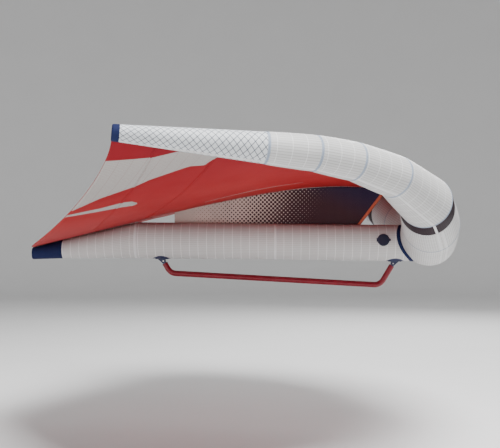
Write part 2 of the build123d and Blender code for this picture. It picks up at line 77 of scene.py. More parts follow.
# ---- material tools
class Tree:
    """A node tree, with short calls that add nodes and join them."""

    def __init__(self, nodes: bpy.types.NodeTree) -> None:
        """Start from an empty tree.

        Args:
            nodes: The tree to fill.
        """
        self.tree = nodes
        self.tree.nodes.clear()

    def add(self, kind: str, inputs: dict | None = None, **settings) -> bpy.types.Node:
        """Add one node.

        Args:
            kind: The node's type name, without the word ShaderNode.
            inputs: What goes into its sockets, by name or number.
            settings: Its own properties.
        Returns:
            The node.
        """
        node = self.tree.nodes.new("ShaderNode" + kind)
        for name, value in settings.items():
            setattr(node, name, value)
        for name, value in (inputs or {}).items():
            self.plug(node.inputs[name], value)
        return node

    def plug(self, socket: bpy.types.NodeSocket, value: Value) -> None:
        """Set a socket, or join it to another.

        Args:
            socket: The input.
            value: A number, a colour or the output to join.
        """
        if isinstance(value, bpy.types.NodeSocket):
            self.tree.links.new(value, socket)
        else:
            socket.default_value = value

    def math(self, operation: str, *values: Value) -> bpy.types.NodeSocket:
        """One Math node's result.

        Args:
            operation: Its operation.
            values: Its one to three inputs.
        Returns:
            The value.
        """
        return self.add("Math", dict(enumerate(values)), operation=operation).outputs[0]

    def mix(self, share: Value, first: Value, second: Value) -> bpy.types.NodeSocket:
        """Two colours mixed.

        Args:
            share: How much of the second shows.
            first: The colour at 0.
            second: The colour at 1.
        Returns:
            The colour.
        """
        node = self.add("Mix", {0: share}, data_type="RGBA")
        colours = [socket for socket in node.inputs if socket.type == "RGBA"]
        self.plug(colours[0], first)
        self.plug(colours[1], second)
        return next(socket for socket in node.outputs if socket.type == "RGBA")

    def step(self, value: Value, low: float, high: float) -> bpy.types.NodeSocket:
        """A soft step from 0 at low to 1 at high.

        Args:
            value: What is compared.
            low: Where the step starts.
            high: Where it is complete.
        Returns:
            The value.
        """
        inputs = {"Value": value, "From Min": low, "From Max": high}
        return self.add("MapRange", inputs, interpolation_type="SMOOTHSTEP").outputs[0]

    def noise(self, vector: Value, scale: float, detail: float = 3.0) -> bpy.types.NodeSocket:
        """Smooth noise from 0 to 1.

        Args:
            vector: Where it is read.
            scale: Its scale, per metre.
            detail: Its number of octaves.
        Returns:
            The value.
        """
        inputs = {"Vector": vector, "Scale": scale, "Detail": detail}
        return self.add("TexNoise", inputs).outputs[0]

    def axes(self, vector: Value) -> tuple:
        """The three parts of a vector."""
        return tuple(self.add("SeparateXYZ", {0: vector}).outputs)

    def group(self, tree: bpy.types.NodeTree, **inputs: Value) -> bpy.types.Node:
        """Place a shared effect.

        Args:
            tree: The effect's node group.
            inputs: Its inputs, with spaces written as underscores.
        Returns:
            The group's node.
        """
        node = self.add("Group")
        node.node_tree = tree
        for name, value in inputs.items():
            self.plug(node.inputs[name.replace("_", " ").capitalize()], value)
        return node


class Shader(Tree):
    """A material with one Principled surface."""

    def __init__(self, name: str, **surface: float | tuple) -> None:
        """Make the material.

        Args:
            name: The material's name.
            surface: Fixed values for the surface's sockets, with spaces as underscores.
        """
        self.material = bpy.data.materials.new(name)
        self.material.use_nodes = True
        super().__init__(self.material.node_tree)
        self.surface = self.add("BsdfPrincipled")
        output = self.add("OutputMaterial")
        self.plug(output.inputs["Surface"], self.surface.outputs[0])
        for socket, value in surface.items():
            self.surface.inputs[socket.replace("_", " ")].default_value = value

    def place(self) -> bpy.types.NodeSocket:
        """The object's own coordinates, in metres."""
        return self.add("TexCoord").outputs["Object"]

    def weave(self) -> bpy.types.NodeSocket:
        """The cloth's own coordinates, in metres along and across."""
        return self.add("UVMap", uv_map=WEAVE_MAP).outputs[0]

    def paint(self, colour: Value, roughness: Value) -> None:
        """Join the base colour and roughness.

        Args:
            colour: The base colour.
            roughness: The roughness.
        """
        self.plug(self.surface.inputs["Base Color"], colour)
        self.plug(self.surface.inputs["Roughness"], roughness)

    def relief(self, height: Value, distance: float, strength: float = 1.0) -> None:
        """Raise the surface.

        Args:
            height: The height from 0 to 1.
            distance: What 1 stands for, in metres.
            strength: How strongly it shows.
        """
        inputs = {"Height": height, "Distance": distance, "Strength": strength}
        self.plug(self.surface.inputs["Normal"], self.add("Bump", inputs).outputs[0])


def shared_effect(name: str, inputs: dict[str, tuple[str, float]], outputs: list[str]) -> Tree:
    """Start a shared effect.

    Args:
        name: The group's name.
        inputs: Each input's socket type and default.
        outputs: The names of the values it puts out.
    Returns:
        The tree, with its ends in the attributes ends_in and ends_out.
    """
    tree = bpy.data.node_groups.new(name, "ShaderNodeTree")
    for label, (kind, default) in inputs.items():
        socket = tree.interface.new_socket(label, in_out="INPUT", socket_type="NodeSocket" + kind)
        if kind == "Float":
            socket.default_value = default
    for label in outputs:
        tree.interface.new_socket(label, in_out="OUTPUT", socket_type="NodeSocketFloat")
    effect = Tree(tree)
    effect.ends_in = tree.nodes.new("NodeGroupInput").outputs
    effect.ends_out = tree.nodes.new("NodeGroupOutput").inputs
    return effect


def yarn_effect() -> bpy.types.NodeTree:
    """Plain weave: crossed yarns, with a height and a shade of their own.

    Returns:
        The shared effect.
    """
    effect = shared_effect("plain_weave", {"Vector": ("Vector", 0), "Pitch": ("Float", 0.0006)},
                           ["Height", "Shade"])
    vector, pitch = effect.ends_in["Vector"], effect.ends_in["Pitch"]
    along, across, _ = effect.axes(vector)
    turns = effect.math("DIVIDE", math.pi, pitch)
    waves = [effect.math("SINE", effect.math("MULTIPLY", axis, turns)) for axis in (along, across)]
    checker = effect.math("MULTIPLY", *waves)
    effect.plug(effect.ends_out["Height"], effect.math("ABSOLUTE", checker))
    effect.plug(effect.ends_out["Shade"], effect.noise(vector, 900.0, 2.0))
    return effect.tree


def grid_effect() -> bpy.types.NodeTree:
    """Heavier yarns laid in a grid: one mask for each direction.

    Returns:
        The shared effect.
    """
    effect = shared_effect(
        "reinforcing_grid",
        {"Vector": ("Vector", 0), "Along": ("Float", 0.05), "Across": ("Float", 0.01),
         "Width": ("Float", 0.001)},
        ["Rings", "Lines"])
    along, across, _ = effect.axes(effect.ends_in["Vector"])
    for axis, spacing, out in ((along, "Along", "Rings"), (across, "Across", "Lines")):
        pitch = effect.ends_in[spacing]
        off = effect.math("PINGPONG", axis, effect.math("MULTIPLY", pitch, 0.5))
        share = effect.math("DIVIDE", off, effect.ends_in["Width"])
        band = effect.add("MapRange", {"Value": share, "From Min": 1.2, "From Max": 0.4},
                          interpolation_type="SMOOTHSTEP")
        effect.plug(effect.ends_out[out], band.outputs[0])
    return effect.tree


def handling_effect() -> bpy.types.NodeTree:
    """Light soiling: broad cloudy patches and fine specks.

    Returns:
        The shared effect.
    """
    effect = shared_effect("handling", {"Vector": ("Vector", 0), "Scale": ("Float", 6.0)},
                           ["Clouds", "Specks"])
    vector, scale = effect.ends_in["Vector"], effect.ends_in["Scale"]
    clouds = effect.add("TexNoise", {"Vector": vector, "Scale": scale, "Detail": 4.0})
    fine = effect.math("MULTIPLY", scale, 60.0)
    specks = effect.add("TexNoise", {"Vector": vector, "Scale": fine, "Detail": 2.0})
    effect.plug(effect.ends_out["Clouds"], effect.step(clouds.outputs[0], 0.35, 0.75))
    effect.plug(effect.ends_out["Specks"], effect.step(specks.outputs[0], 0.62, 0.75))
    return effect.tree


PLAIN_WEAVE = yarn_effect()
GRID = grid_effect()
HANDLING = handling_effect()


# ---- finishes
@dataclass(frozen=True)
class SleeveCloth:
    """Woven polyester sleeve cloth, with a grid of heavier yarns."""

    name: str
    colour: tuple
    line_colour: tuple
    ring_colour: tuple
    ring_spacing: float = 0.056
    line_spacing: float = 0.0105
    yarn_width: float = 0.0012
    line_share: float = 0.66
    ring_share: float = 0.75
    diagonal: bool = False
    specular: float = 0.2
    relief: float = 0.6

    def material(self) -> bpy.types.Material:
        """Build this finish.

        Returns:
            The cloth's material.
        """
        shader = Shader(self.name, Specular_IOR_Level=self.specular)
        cloth = shader.weave()
        if self.diagonal:
            turn = {"Vector": cloth, "Rotation": (0.0, 0.0, math.radians(45))}
            cloth = shader.add("Mapping", turn).outputs[0]
        grid = shader.group(GRID, vector=cloth, along=self.ring_spacing,
                            across=self.line_spacing, width=self.yarn_width)
        fine = shader.group(PLAIN_WEAVE, vector=cloth, pitch=0.0012)
        marks = shader.group(HANDLING, vector=shader.place(), scale=5.0)
        tint = tuple(0.86 * part for part in self.colour[:3]) + (1.0,)
        colour = shader.mix(shader.math("MULTIPLY", marks.outputs["Clouds"], 0.5), self.colour, tint)
        colour = shader.mix(shader.math("MULTIPLY", fine.outputs["Shade"], 0.16), colour, tint)
        lines = shader.math("MULTIPLY", grid.outputs["Lines"], self.line_share)
        colour = shader.mix(lines, colour, self.line_colour)
        rings = shader.math("MULTIPLY", grid.outputs["Rings"], self.ring_share)
        colour = shader.mix(rings, colour, self.ring_colour)
        raised = shader.math("MAXIMUM", grid.outputs["Rings"], grid.outputs["Lines"])
        raised = shader.math("MULTIPLY_ADD", fine.outputs["Height"], 0.35, raised)
        shader.paint(colour, shader.math("MULTIPLY_ADD", marks.outputs["Clouds"], 0.12, 0.44))
        shader.relief(raised, 0.00009, self.relief)
        return shader.material


@dataclass(frozen=True)
class PlainCloth:
    """Plain woven cloth or webbing in one dye, with visible yarns and faded patches."""

    name: str
    colour: tuple
    faded: tuple
    pitch: float = 0.0012
    roughness: float = 0.6
    depth: float = 0.00012

    def material(self) -> bpy.types.Material:
        """Build this finish.

        Returns:
            The cloth's material.
        """
        shader = Shader(self.name, Specular_IOR_Level=0.12)
        cloth = shader.weave()
        fine = shader.group(PLAIN_WEAVE, vector=cloth, pitch=self.pitch)
        marks = shader.group(HANDLING, vector=shader.place(), scale=9.0)
        share = shader.math("MULTIPLY", marks.outputs["Clouds"], 0.45)
        share = shader.math("MULTIPLY_ADD", fine.outputs["Height"], 0.35, share)
        colour = shader.mix(share, self.colour, self.faded)
        rough = shader.math("MULTIPLY_ADD", fine.outputs["Shade"], 0.2, self.roughness - 0.1)
        shader.paint(colour, rough)
        shader.relief(fine.outputs["Height"], self.depth, 0.8)
        return shader.material


@dataclass(frozen=True)
class CanopyCloth:
    """Red ripstop canopy cloth, with pale grey printed shapes mirrored on both halves; the grey is
    painted shade on what is white print.

    The outlines give each shape's lower and upper edge, as X and distance from the middle.
    """

    name: str = "canopy_red_ripstop"
    red: tuple = (0.38, 0.016, 0.016, 1.0)
    deep_red: tuple = (0.18, 0.007, 0.015, 1.0)
    # The print's grey is painted shade: white print darkened to how it looks in the canopy's shadow.
    pale: tuple = (0.42, 0.42, 0.40, 1.0)
    panel_low: tuple = ((-0.836, 0.888), (-0.751, 0.942), (-0.712, 0.966), (-0.560, 1.020),
                        (-0.500, 1.056), (-0.369, 1.099), (-0.337, 1.108), (-0.279, 1.088),
                        (-0.268, 1.106), (-0.227, 1.148))
    panel_high: tuple = ((-0.640, 1.288), (-0.460, 1.257), (-0.362, 1.272), (-0.200, 1.330))
    stripe_low: tuple = ((-0.960, 0.835), (-0.881, 0.814), (-0.742, 0.787), (-0.651, 0.773),
                         (-0.605, 0.752), (-0.588, 0.770))
    stripe_high: tuple = ((-0.960, 0.850), (-0.872, 0.840), (-0.732, 0.834), (-0.640, 0.846),
                          (-0.600, 0.830), (-0.586, 0.790))
    sliver_low: tuple = ((-0.350, 0.262), (-0.100, 0.345), (0.129, 0.361))
    sliver_high: tuple = ((-0.350, 0.276), (-0.100, 0.360), (0.129, 0.367))

    def edge(self, shader: Shader, along: Value, points: tuple) -> bpy.types.NodeSocket:
        """A printed edge's distance from the middle.

        Args:
            shader: The material.
            along: X, in metres.
            points: The edge's corners.
        Returns:
            The distance at that X, in metres.
        """
        low, span, top = -1.25, 2.25, 1.5
        node = shader.add("FloatCurve")
        curve = node.mapping.curves[0]
        spots = [((x - low) / span, out / top) for x, out in points]
        spots = [(0.0, spots[0][1]), *spots, (1.0, spots[-1][1])]
        while len(curve.points) < len(spots):
            curve.points.new(0.5, 0.5)
        for point, spot in zip(curve.points, spots):
            point.location = spot
            point.handle_type = "VECTOR"
        node.mapping.update()
        place = shader.add("MapRange", {"Value": along, "From Min": low, "From Max": low + span})
        shader.plug(node.inputs["Value"], place.outputs[0])
        return shader.math("MULTIPLY", node.outputs[0], top)

    def shape(self, shader: Shader, along: Value, out: Value, low: tuple, high: tuple,
              start: float, end: float) -> bpy.types.NodeSocket:
        """Where one printed shape covers the cloth.

        Args:
            shader: The material.
            along: X, in metres.
            out: The distance from the middle, in metres.
            low: The lower edge's corners.
            high: The upper edge's corners.
            start: The shape's lowest X.
            end: Its highest X.
        Returns:
            1 on the shape and 0 off it.
        """
        soft = 0.0006
        above = shader.math("SUBTRACT", out, self.edge(shader, along, low))
        below = shader.math("SUBTRACT", self.edge(shader, along, high), out)
        inside = shader.math("MINIMUM", above, below)
        ends = shader.math("MINIMUM", shader.math("SUBTRACT", along, start),
                           shader.math("SUBTRACT", end, along))
        return shader.step(shader.math("MINIMUM", inside, ends), -soft, soft)

    def material(self) -> bpy.types.Material:
        """Build this finish.

        Returns:
            The cloth's material.
        """
        shader = Shader(self.name, Specular_IOR_Level=0.12)
        place, cloth = shader.place(), shader.weave()
        along, across, _ = shader.axes(place)
        out = shader.math("ABSOLUTE", across)
        grid = shader.group(GRID, vector=cloth, along=0.0055, across=0.0055, width=0.0007)
        fine = shader.group(PLAIN_WEAVE, vector=cloth, pitch=0.0008)
        marks = shader.group(HANDLING, vector=place, scale=3.0)
        toward_tip = shader.step(out, 0.55, 1.4)
        share = shader.math("MULTIPLY_ADD", marks.outputs["Clouds"], 0.18,
                            shader.math("MULTIPLY", toward_tip, 0.75))
        colour = shader.mix(share, self.red, self.deep_red)
        prints = [
            self.shape(shader, along, out, self.panel_low, self.panel_high, -1.25, 0.1),
            self.shape(shader, along, out, self.stripe_low, self.stripe_high, -1.25, -0.586),
            self.shape(shader, along, out, self.sliver_low, self.sliver_high, -0.331, 0.129)]
        mask = shader.math("MAXIMUM", prints[0], shader.math("MAXIMUM", *prints[1:]))
        grain = shader.noise(place, 260.0, 2.0)
        # The print's painted-shade grey, made a little darker at random by a fine grain.
        shaded = tuple(0.8 * part for part in self.pale[:3]) + (1.0,)
        colour = shader.mix(mask, colour, shader.mix(grain, self.pale, shaded))
        yarns = shader.math("MAXIMUM", grid.outputs["Rings"], grid.outputs["Lines"])
        colour = shader.mix(shader.math("MULTIPLY", yarns, 0.22), colour, self.deep_red)
        heavy = shader.group(GRID, vector=cloth, along=0.0145, across=0.058, width=0.0015)
        heavy = shader.math("MAXIMUM", heavy.outputs["Rings"], heavy.outputs["Lines"])
        colour = shader.mix(shader.math("MULTIPLY", heavy, 0.28), colour, self.deep_red)
        raised = shader.math("MULTIPLY_ADD", fine.outputs["Height"], 0.3, yarns)
        shader.paint(colour, shader.math("MULTIPLY_ADD", marks.outputs["Clouds"], 0.1, 0.60))
        shader.relief(raised, 0.00004, 0.5)
        return shader.material


@dataclass(frozen=True)
class WebCloth:
    """Pale web cloth, printed with dark dots that grow forward until they meet."""

    name: str = "web_halftone_print"
    pale: tuple = (0.50, 0.40, 0.36, 1.0)
    maroon: tuple = (0.026, 0.002, 0.009, 1.0)
    navy: tuple = (0.010, 0.005, 0.040, 1.0)
    dot_pitch: float = 0.0146
    first_dots_x: float = -0.50
    solid_x: float = 0.27

    def material(self) -> bpy.types.Material:
        """Build this finish.

        Returns:
            The cloth's material.
        """
        shader = Shader(self.name, Specular_IOR_Level=0.15)
        place = shader.place()
        along, _, up = shader.axes(place)
        flat = shader.add("CombineXYZ", {0: along, 1: up, 2: 0.0}).outputs[0]
        turn = {"Vector": flat, "Rotation": (0.0, 0.0, math.radians(45)),
                "Scale": (1 / self.dot_pitch,) * 3}
        lattice = shader.add("Mapping", turn).outputs[0]
        cell = shader.add("VectorMath", {0: lattice}, operation="FRACTION").outputs[0]
        middle = shader.add("VectorMath", {0: cell, 1: (0.5, 0.5, 0.0)}, operation="SUBTRACT")
        sideways, upward, _ = shader.axes(middle.outputs[0])
        square = shader.math("ADD", shader.math("MULTIPLY", sideways, sideways),
                             shader.math("MULTIPLY", upward, upward))
        off = shader.math("SQRT", square)
        rise = shader.math("MULTIPLY", shader.math("SUBTRACT", up, 0.30), 0.55)
        spot = shader.math("SUBTRACT", along, rise)
        size = shader.add("MapRange", {"Value": spot, "From Min": self.first_dots_x,
                                       "From Max": self.solid_x, "To Min": 0.0, "To Max": 0.76})
        dots = shader.step(shader.math("SUBTRACT", size.outputs[0], off), -0.02, 0.02)
        forward = shader.step(shader.math("ADD", along, shader.math("MULTIPLY", up, 2.2)), 1.02, 1.45)
        dark = shader.mix(forward, self.maroon, self.navy)
        weave = shader.weave()
        grid = shader.group(GRID, vector=weave, along=0.0055, across=0.0055, width=0.0006)
        marks = shader.group(HANDLING, vector=place, scale=7.0)
        faded = tuple(0.8 * part for part in self.pale[:3]) + (1.0,)
        ground = shader.mix(marks.outputs["Clouds"], self.pale, faded)
        colour = shader.mix(dots, ground, dark)
        yarns = shader.math("MAXIMUM", grid.outputs["Rings"], grid.outputs["Lines"])
        colour = shader.mix(shader.math("MULTIPLY", yarns, 0.12), colour, faded)
        shader.paint(colour, shader.math("MULTIPLY_ADD", marks.outputs["Clouds"], 0.1, 0.42))
        shader.relief(yarns, 0.00005, 0.5)
        return shader.material


@dataclass(frozen=True)
class Moulding:
    """Moulded plastic or rubber: fine spark texture, faint flow marks and rubbed patches."""

    name: str
    colour: tuple
    rubbed: tuple
    roughness: float = 0.45
    grain: float = 1400.0
    depth: float = 0.00008
    coat: float = 0.0

    def material(self) -> bpy.types.Material:
        """Build this finish.

        Returns:
            The moulding's material.
        """
        shader = Shader(self.name, Coat_Weight=self.coat, Coat_Roughness=0.25)
        place = shader.place()
        texture = shader.noise(place, self.grain, 2.0)
        marks = shader.group(HANDLING, vector=place, scale=25.0)
        share = shader.math("MULTIPLY_ADD", marks.outputs["Clouds"], 0.4,
                            shader.math("MULTIPLY", marks.outputs["Specks"], 0.35))
        rough = shader.math("MULTIPLY_ADD", texture, 0.18, self.roughness - 0.09)
        shader.paint(shader.mix(share, self.colour, self.rubbed), rough)
        shader.relief(texture, self.depth, 0.5)
        return shader.material


@dataclass(frozen=True)
class Metal:
    """Turned or drawn metal: fine lines round or along it, and small scratches."""

    name: str
    colour: tuple
    roughness: float = 0.28
    metallic: float = 1.0

    def material(self) -> bpy.types.Material:
        """Build this finish.

        Returns:
            The metal's material.
        """
        shader = Shader(self.name, Metallic=self.metallic)
        place = shader.place()
        stretched = shader.add("Mapping", {"Vector": place, "Scale": (60.0, 2400.0, 60.0)})
        lines = shader.noise(stretched.outputs[0], 1.0, 2.0)
        clouds = shader.noise(place, 160.0, 3.0)
        darker = tuple(0.72 * part for part in self.colour[:3]) + (1.0,)
        shader.paint(shader.mix(clouds, self.colour, darker),
                     shader.math("MULTIPLY_ADD", lines, 0.22, self.roughness - 0.08))
        shader.relief(lines, 0.00002, 0.4)
        return shader.material


@dataclass(frozen=True)
class BoomPaint:
    """Deep red satin lacquer on the boom, worn a little paler where hands hold it."""

    name: str = "boom_red_lacquer"
    colour: tuple = (0.16, 0.002, 0.010, 1.0)
    worn: tuple = (0.23, 0.010, 0.022, 1.0)
    grip_half: float = 0.42

    def material(self) -> bpy.types.Material:
        """Build this finish.

        Returns:
            The lacquer's material.
        """
        shader = Shader(self.name, Coat_Weight=0.12, Coat_Roughness=0.25, Specular_IOR_Level=0.3)
        place = shader.place()
        along, _, _ = shader.axes(place)
        fibre = shader.add("Mapping", {"Vector": place, "Scale": (12.0, 700.0, 700.0)})
        lines = shader.noise(fibre.outputs[0], 1.0, 3.0)
        scuffs = shader.step(shader.noise(place, 34.0, 5.0), 0.5, 0.72)
        held = shader.step(shader.math("ABSOLUTE", along), self.grip_half + 0.08, self.grip_half - 0.08)
        worn = shader.math("MULTIPLY", shader.math("MULTIPLY", scuffs, held), 0.55)
        worn = shader.math("MULTIPLY_ADD", lines, 0.18, worn)
        shader.paint(shader.mix(worn, self.colour, self.worn),
                     shader.math("MULTIPLY_ADD", scuffs, 0.16, 0.34))
        shader.relief(lines, 0.00004, 0.35)
        return shader.material


@dataclass(frozen=True)
class BladderFilm:
    """Clear polyurethane film, a little milky, with fine creases."""

    name: str = "bladder_film"
    colour: tuple = (0.72, 0.74, 0.70, 1.0)
    creased: tuple = (0.52, 0.55, 0.52, 1.0)

    def material(self) -> bpy.types.Material:
        """Build this finish.

        Returns:
            The film's material.
        """
        shader = Shader(self.name, IOR=1.5)
        place = shader.place()
        creases = shader.noise(place, 40.0, 6.0)
        lines = shader.step(creases, 0.48, 0.52)
        shader.paint(shader.mix(lines, self.colour, self.creased),
                     shader.math("MULTIPLY_ADD", creases, 0.2, 0.12))
        shader.relief(creases, 0.001, 0.5)
        return shader.material


def grey(value: float) -> tuple:
    """A neutral colour."""
    return (value, value, value, 1.0)


WHITE_CLOTH = (0.52, 0.52, 0.515, 1.0)
NAVY = (0.006, 0.010, 0.050, 1.0)
NAVY_WORN = (0.018, 0.026, 0.085, 1.0)
FINISHES = {
    "sleeve": SleeveCloth("sleeve_white_ripstop", WHITE_CLOTH, (0.23, 0.21, 0.20, 1.0),
                          grey(0.80)),
    "tip": SleeveCloth("tip_diamond_ripstop", (0.60, 0.62, 0.64, 1.0), (0.05, 0.06, 0.08, 1.0),
                       (0.05, 0.06, 0.08, 1.0), 0.0185, 0.0185, 0.0015, 0.92, 0.92, True),
    "strut": SleeveCloth("strut_white_ripstop", WHITE_CLOTH, (0.30, 0.22, 0.20, 1.0),
                         grey(0.85), 0.042, 0.0092, 0.0012, 0.42, 0.75),
    "band": SleeveCloth("band_dark_print", (0.010, 0.002, 0.006, 1.0), (0.03, 0.012, 0.02, 1.0),
                        (0.04, 0.02, 0.03, 1.0), specular=0.03, relief=0.15),
    # The seam tape's blue-grey is painted shade: it stands in for the slight shadow along each mitre
    # seam.
    "seam": PlainCloth("seam_tape_blue_grey", (0.27, 0.32, 0.40, 1.0), (0.38, 0.42, 0.48, 1.0)),
    "white_tape": PlainCloth("seam_tape_white", grey(0.66), grey(0.52)),
    "navy_webbing": PlainCloth("navy_webbing", NAVY, NAVY_WORN, 0.0022, 0.7, 0.0003),
    "hem": PlainCloth("canopy_hem_red", (0.34, 0.014, 0.012, 1.0), (0.40, 0.03, 0.02, 1.0), 0.0008),
    "canopy": CanopyCloth(),
    "web": WebCloth(),
    "web_tape": PlainCloth("web_tape_orange_red", (0.42, 0.085, 0.045, 1.0),
                           (0.50, 0.14, 0.09, 1.0)),
    "thread_white": PlainCloth("thread_white", (0.72, 0.72, 0.70, 1.0), grey(0.6), 0.0004),
    "thread_red": PlainCloth("thread_red", (0.22, 0.012, 0.014, 1.0), (0.30, 0.03, 0.03, 1.0), 0.0004),
    "thread_navy": PlainCloth("thread_navy", (0.03, 0.04, 0.12, 1.0), NAVY_WORN, 0.0004),
    "film": BladderFilm(),
    "boom": BoomPaint(),
    "navy_moulding": Moulding("moulded_navy_nylon", NAVY, NAVY_WORN),
    "valve": Moulding("valve_black_navy", (0.006, 0.008, 0.028, 1.0), (0.02, 0.025, 0.06, 1.0),
                      0.4, coat=0.15),
    "rubber": Moulding("pad_rubber_navy", (0.010, 0.014, 0.055, 1.0), (0.03, 0.035, 0.09, 1.0),
                       0.7, 600.0, 0.0003),
    "seal": Moulding("seal_rubber_black", grey(0.015), grey(0.04), 0.65),
    "port": Moulding("port_clear_grey", (0.30, 0.32, 0.33, 1.0), (0.4, 0.42, 0.43, 1.0), 0.3),
    "stainless": Metal("stainless_steel", (0.62, 0.61, 0.59, 1.0)),
    "ring_steel": Metal("drawn_ring_steel", (0.55, 0.55, 0.54, 1.0), 0.2),
}
MATERIALS = {key: finish.material() for key, finish in FINISHES.items()}


# ---- mesh tools
def unit(vector: Array) -> Array:
    """A vector, or rows of them, at length 1."""
    return vector / np.linalg.norm(vector, axis=-1, keepdims=True)


def smooth(values: Array) -> Array:
    """A smooth step from 0 to 1, flat outside those values."""
    values = np.clip(values, 0.0, 1.0)
    return values * values * (3 - 2 * values)


def distances(path: Array) -> Array:
    """How far each point of a path lies from its first, along the path."""
    return np.concatenate([[0.0], np.cumsum(np.linalg.norm(np.diff(path, axis=0), axis=1))])


def full_turn(angles: Array) -> Array:
    """The angles with the first again at the end, 360 degrees on."""
    return np.append(angles, angles[0] + 360.0)


def weave_map(rows: Array, columns: Array) -> Array:
    """A weave map, from the distances of its rows and of its columns."""
    return np.stack(np.meshgrid(rows, columns, indexing="ij"), 2)


def add_object(name: str, data: bpy.types.ID) -> bpy.types.Object:
    """Put a new object in the scene.

    Args:
        name: Its name.
        data: What it holds.
    Returns:
        The object.
    """
    thing = bpy.data.objects.new(name, data)
    bpy.context.scene.collection.objects.link(thing)
    return thing


def dress(piece: bpy.types.Object, finish: str, slot: str, *replaced: str,
          body: str = "wing") -> bpy.types.Object:
    """Give a finished piece its material and body, and hide the nodes that it replaces.

    Args:
        piece: The piece.
        finish: A key of FINISHES.
        slot: A material slot's name. Not used.
        replaced: The nodes that it stands for.
        body: The body that it rides on.
    Returns:
        The piece.
    """
    piece.data.materials.clear()
    piece.data.materials.append(MATERIALS[finish])
    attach(piece, body)
    if replaced:
        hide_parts(*replaced)
    LOG.info("%s: %d faces, %s", piece.name, len(piece.data.polygons), finish)
    return piece


def select_only(piece: bpy.types.Object) -> None:
    """Make one object the active and only selected one.

    Args:
        piece: The object.
    """
    bpy.ops.object.select_all(action="DESELECT")
    piece.select_set(True)
    bpy.context.view_layer.objects.active = piece


def apply_modifier(piece: bpy.types.Object, kind: str, **settings) -> None:
    """Add a modifier and apply it.

    Args:
        piece: The object.
        kind: The modifier's type.
        settings: Its properties.
    """
    modifier = piece.modifiers.new(kind.lower(), kind)
    for name, value in settings.items():
        setattr(modifier, name, value)
    select_only(piece)
    bpy.ops.object.modifier_apply(modifier=modifier.name)


@dataclass
class Cloth:
    """A skin made from a grid of points, with its own weave map.

    Args:
        name: The piece's name.
        points: The grid, as rows by columns by three.
        weave: The weave map's two values in metres, rows by columns by two. A closed skin
            has one column more here than in points.
        closed: Whether the last column joins the first.
        thickness: The wall, laid on the back of the faces.
    """

    name: str
    points: Array
    weave: Array
    closed: bool = False
    thickness: float = 0.0

    def build(self, flip: bool = False, hole: tuple | None = None) -> bpy.types.Object:
        """Make the piece.

        Args:
            flip: Whether the grid's faces point the wrong way round.
            hole: A point, an axis and a radius. Faces within it are left out.
        Returns:
            The object.
        """
        rows, columns, _ = self.points.shape
        spans = columns if self.closed else columns - 1
        row, column = np.meshgrid(np.arange(rows - 1), np.arange(spans), indexing="ij")
        row, column = row.ravel(), column.ravel()
        after = (column + 1) % columns
        corners = [(row, column), (row, after), (row + 1, after), (row + 1, column)]
        marks = [(row, column), (row, column + 1), (row + 1, column + 1), (row + 1, column)]
        faces = np.stack([r * columns + c for r, c in corners], 1)
        uvs = np.stack([self.weave[r, c] for r, c in marks], 1)
        if flip:
            faces, uvs = faces[:, ::-1], uvs[:, ::-1]
        if hole is not None:
            origin, axis, radius = hole
            away = self.points.reshape(-1, 3)[faces].mean(1) - origin
            depth = away @ axis
            flat = np.linalg.norm(away - depth[:, None] * axis, axis=1)
            keep = (flat > radius) | (np.abs(depth) > 4 * radius)
            faces, uvs = faces[keep], uvs[keep]
        mesh = bpy.data.meshes.new(self.name)
        mesh.from_pydata(self.points.reshape(-1, 3).tolist(), [], faces.tolist())
        layer = mesh.uv_layers.new(name=WEAVE_MAP)
        layer.data.foreach_set("uv", uvs.astype(np.float32).ravel())
        mesh.polygons.foreach_set("use_smooth", np.ones(len(faces), bool))
        piece = add_object(self.name, mesh)
        self.tidy(mesh)
        if self.thickness:
            apply_modifier(piece, "SOLIDIFY", thickness=self.thickness, offset=-1.0, use_rim=True)
        return piece

    @staticmethod
    def tidy(mesh: bpy.types.Mesh) -> None:
        """Join points in the same place, and remove those that no face uses.

        Args:
            mesh: The mesh to clean.
        """
        shape = bmesh.new()
        shape.from_mesh(mesh)
        bmesh.ops.remove_doubles(shape, verts=shape.verts, dist=1e-6)
        loose = [v for v in shape.verts if not v.link_faces]
        bmesh.ops.delete(shape, geom=loose, context="VERTS")
        shape.to_mesh(mesh)
        shape.free()


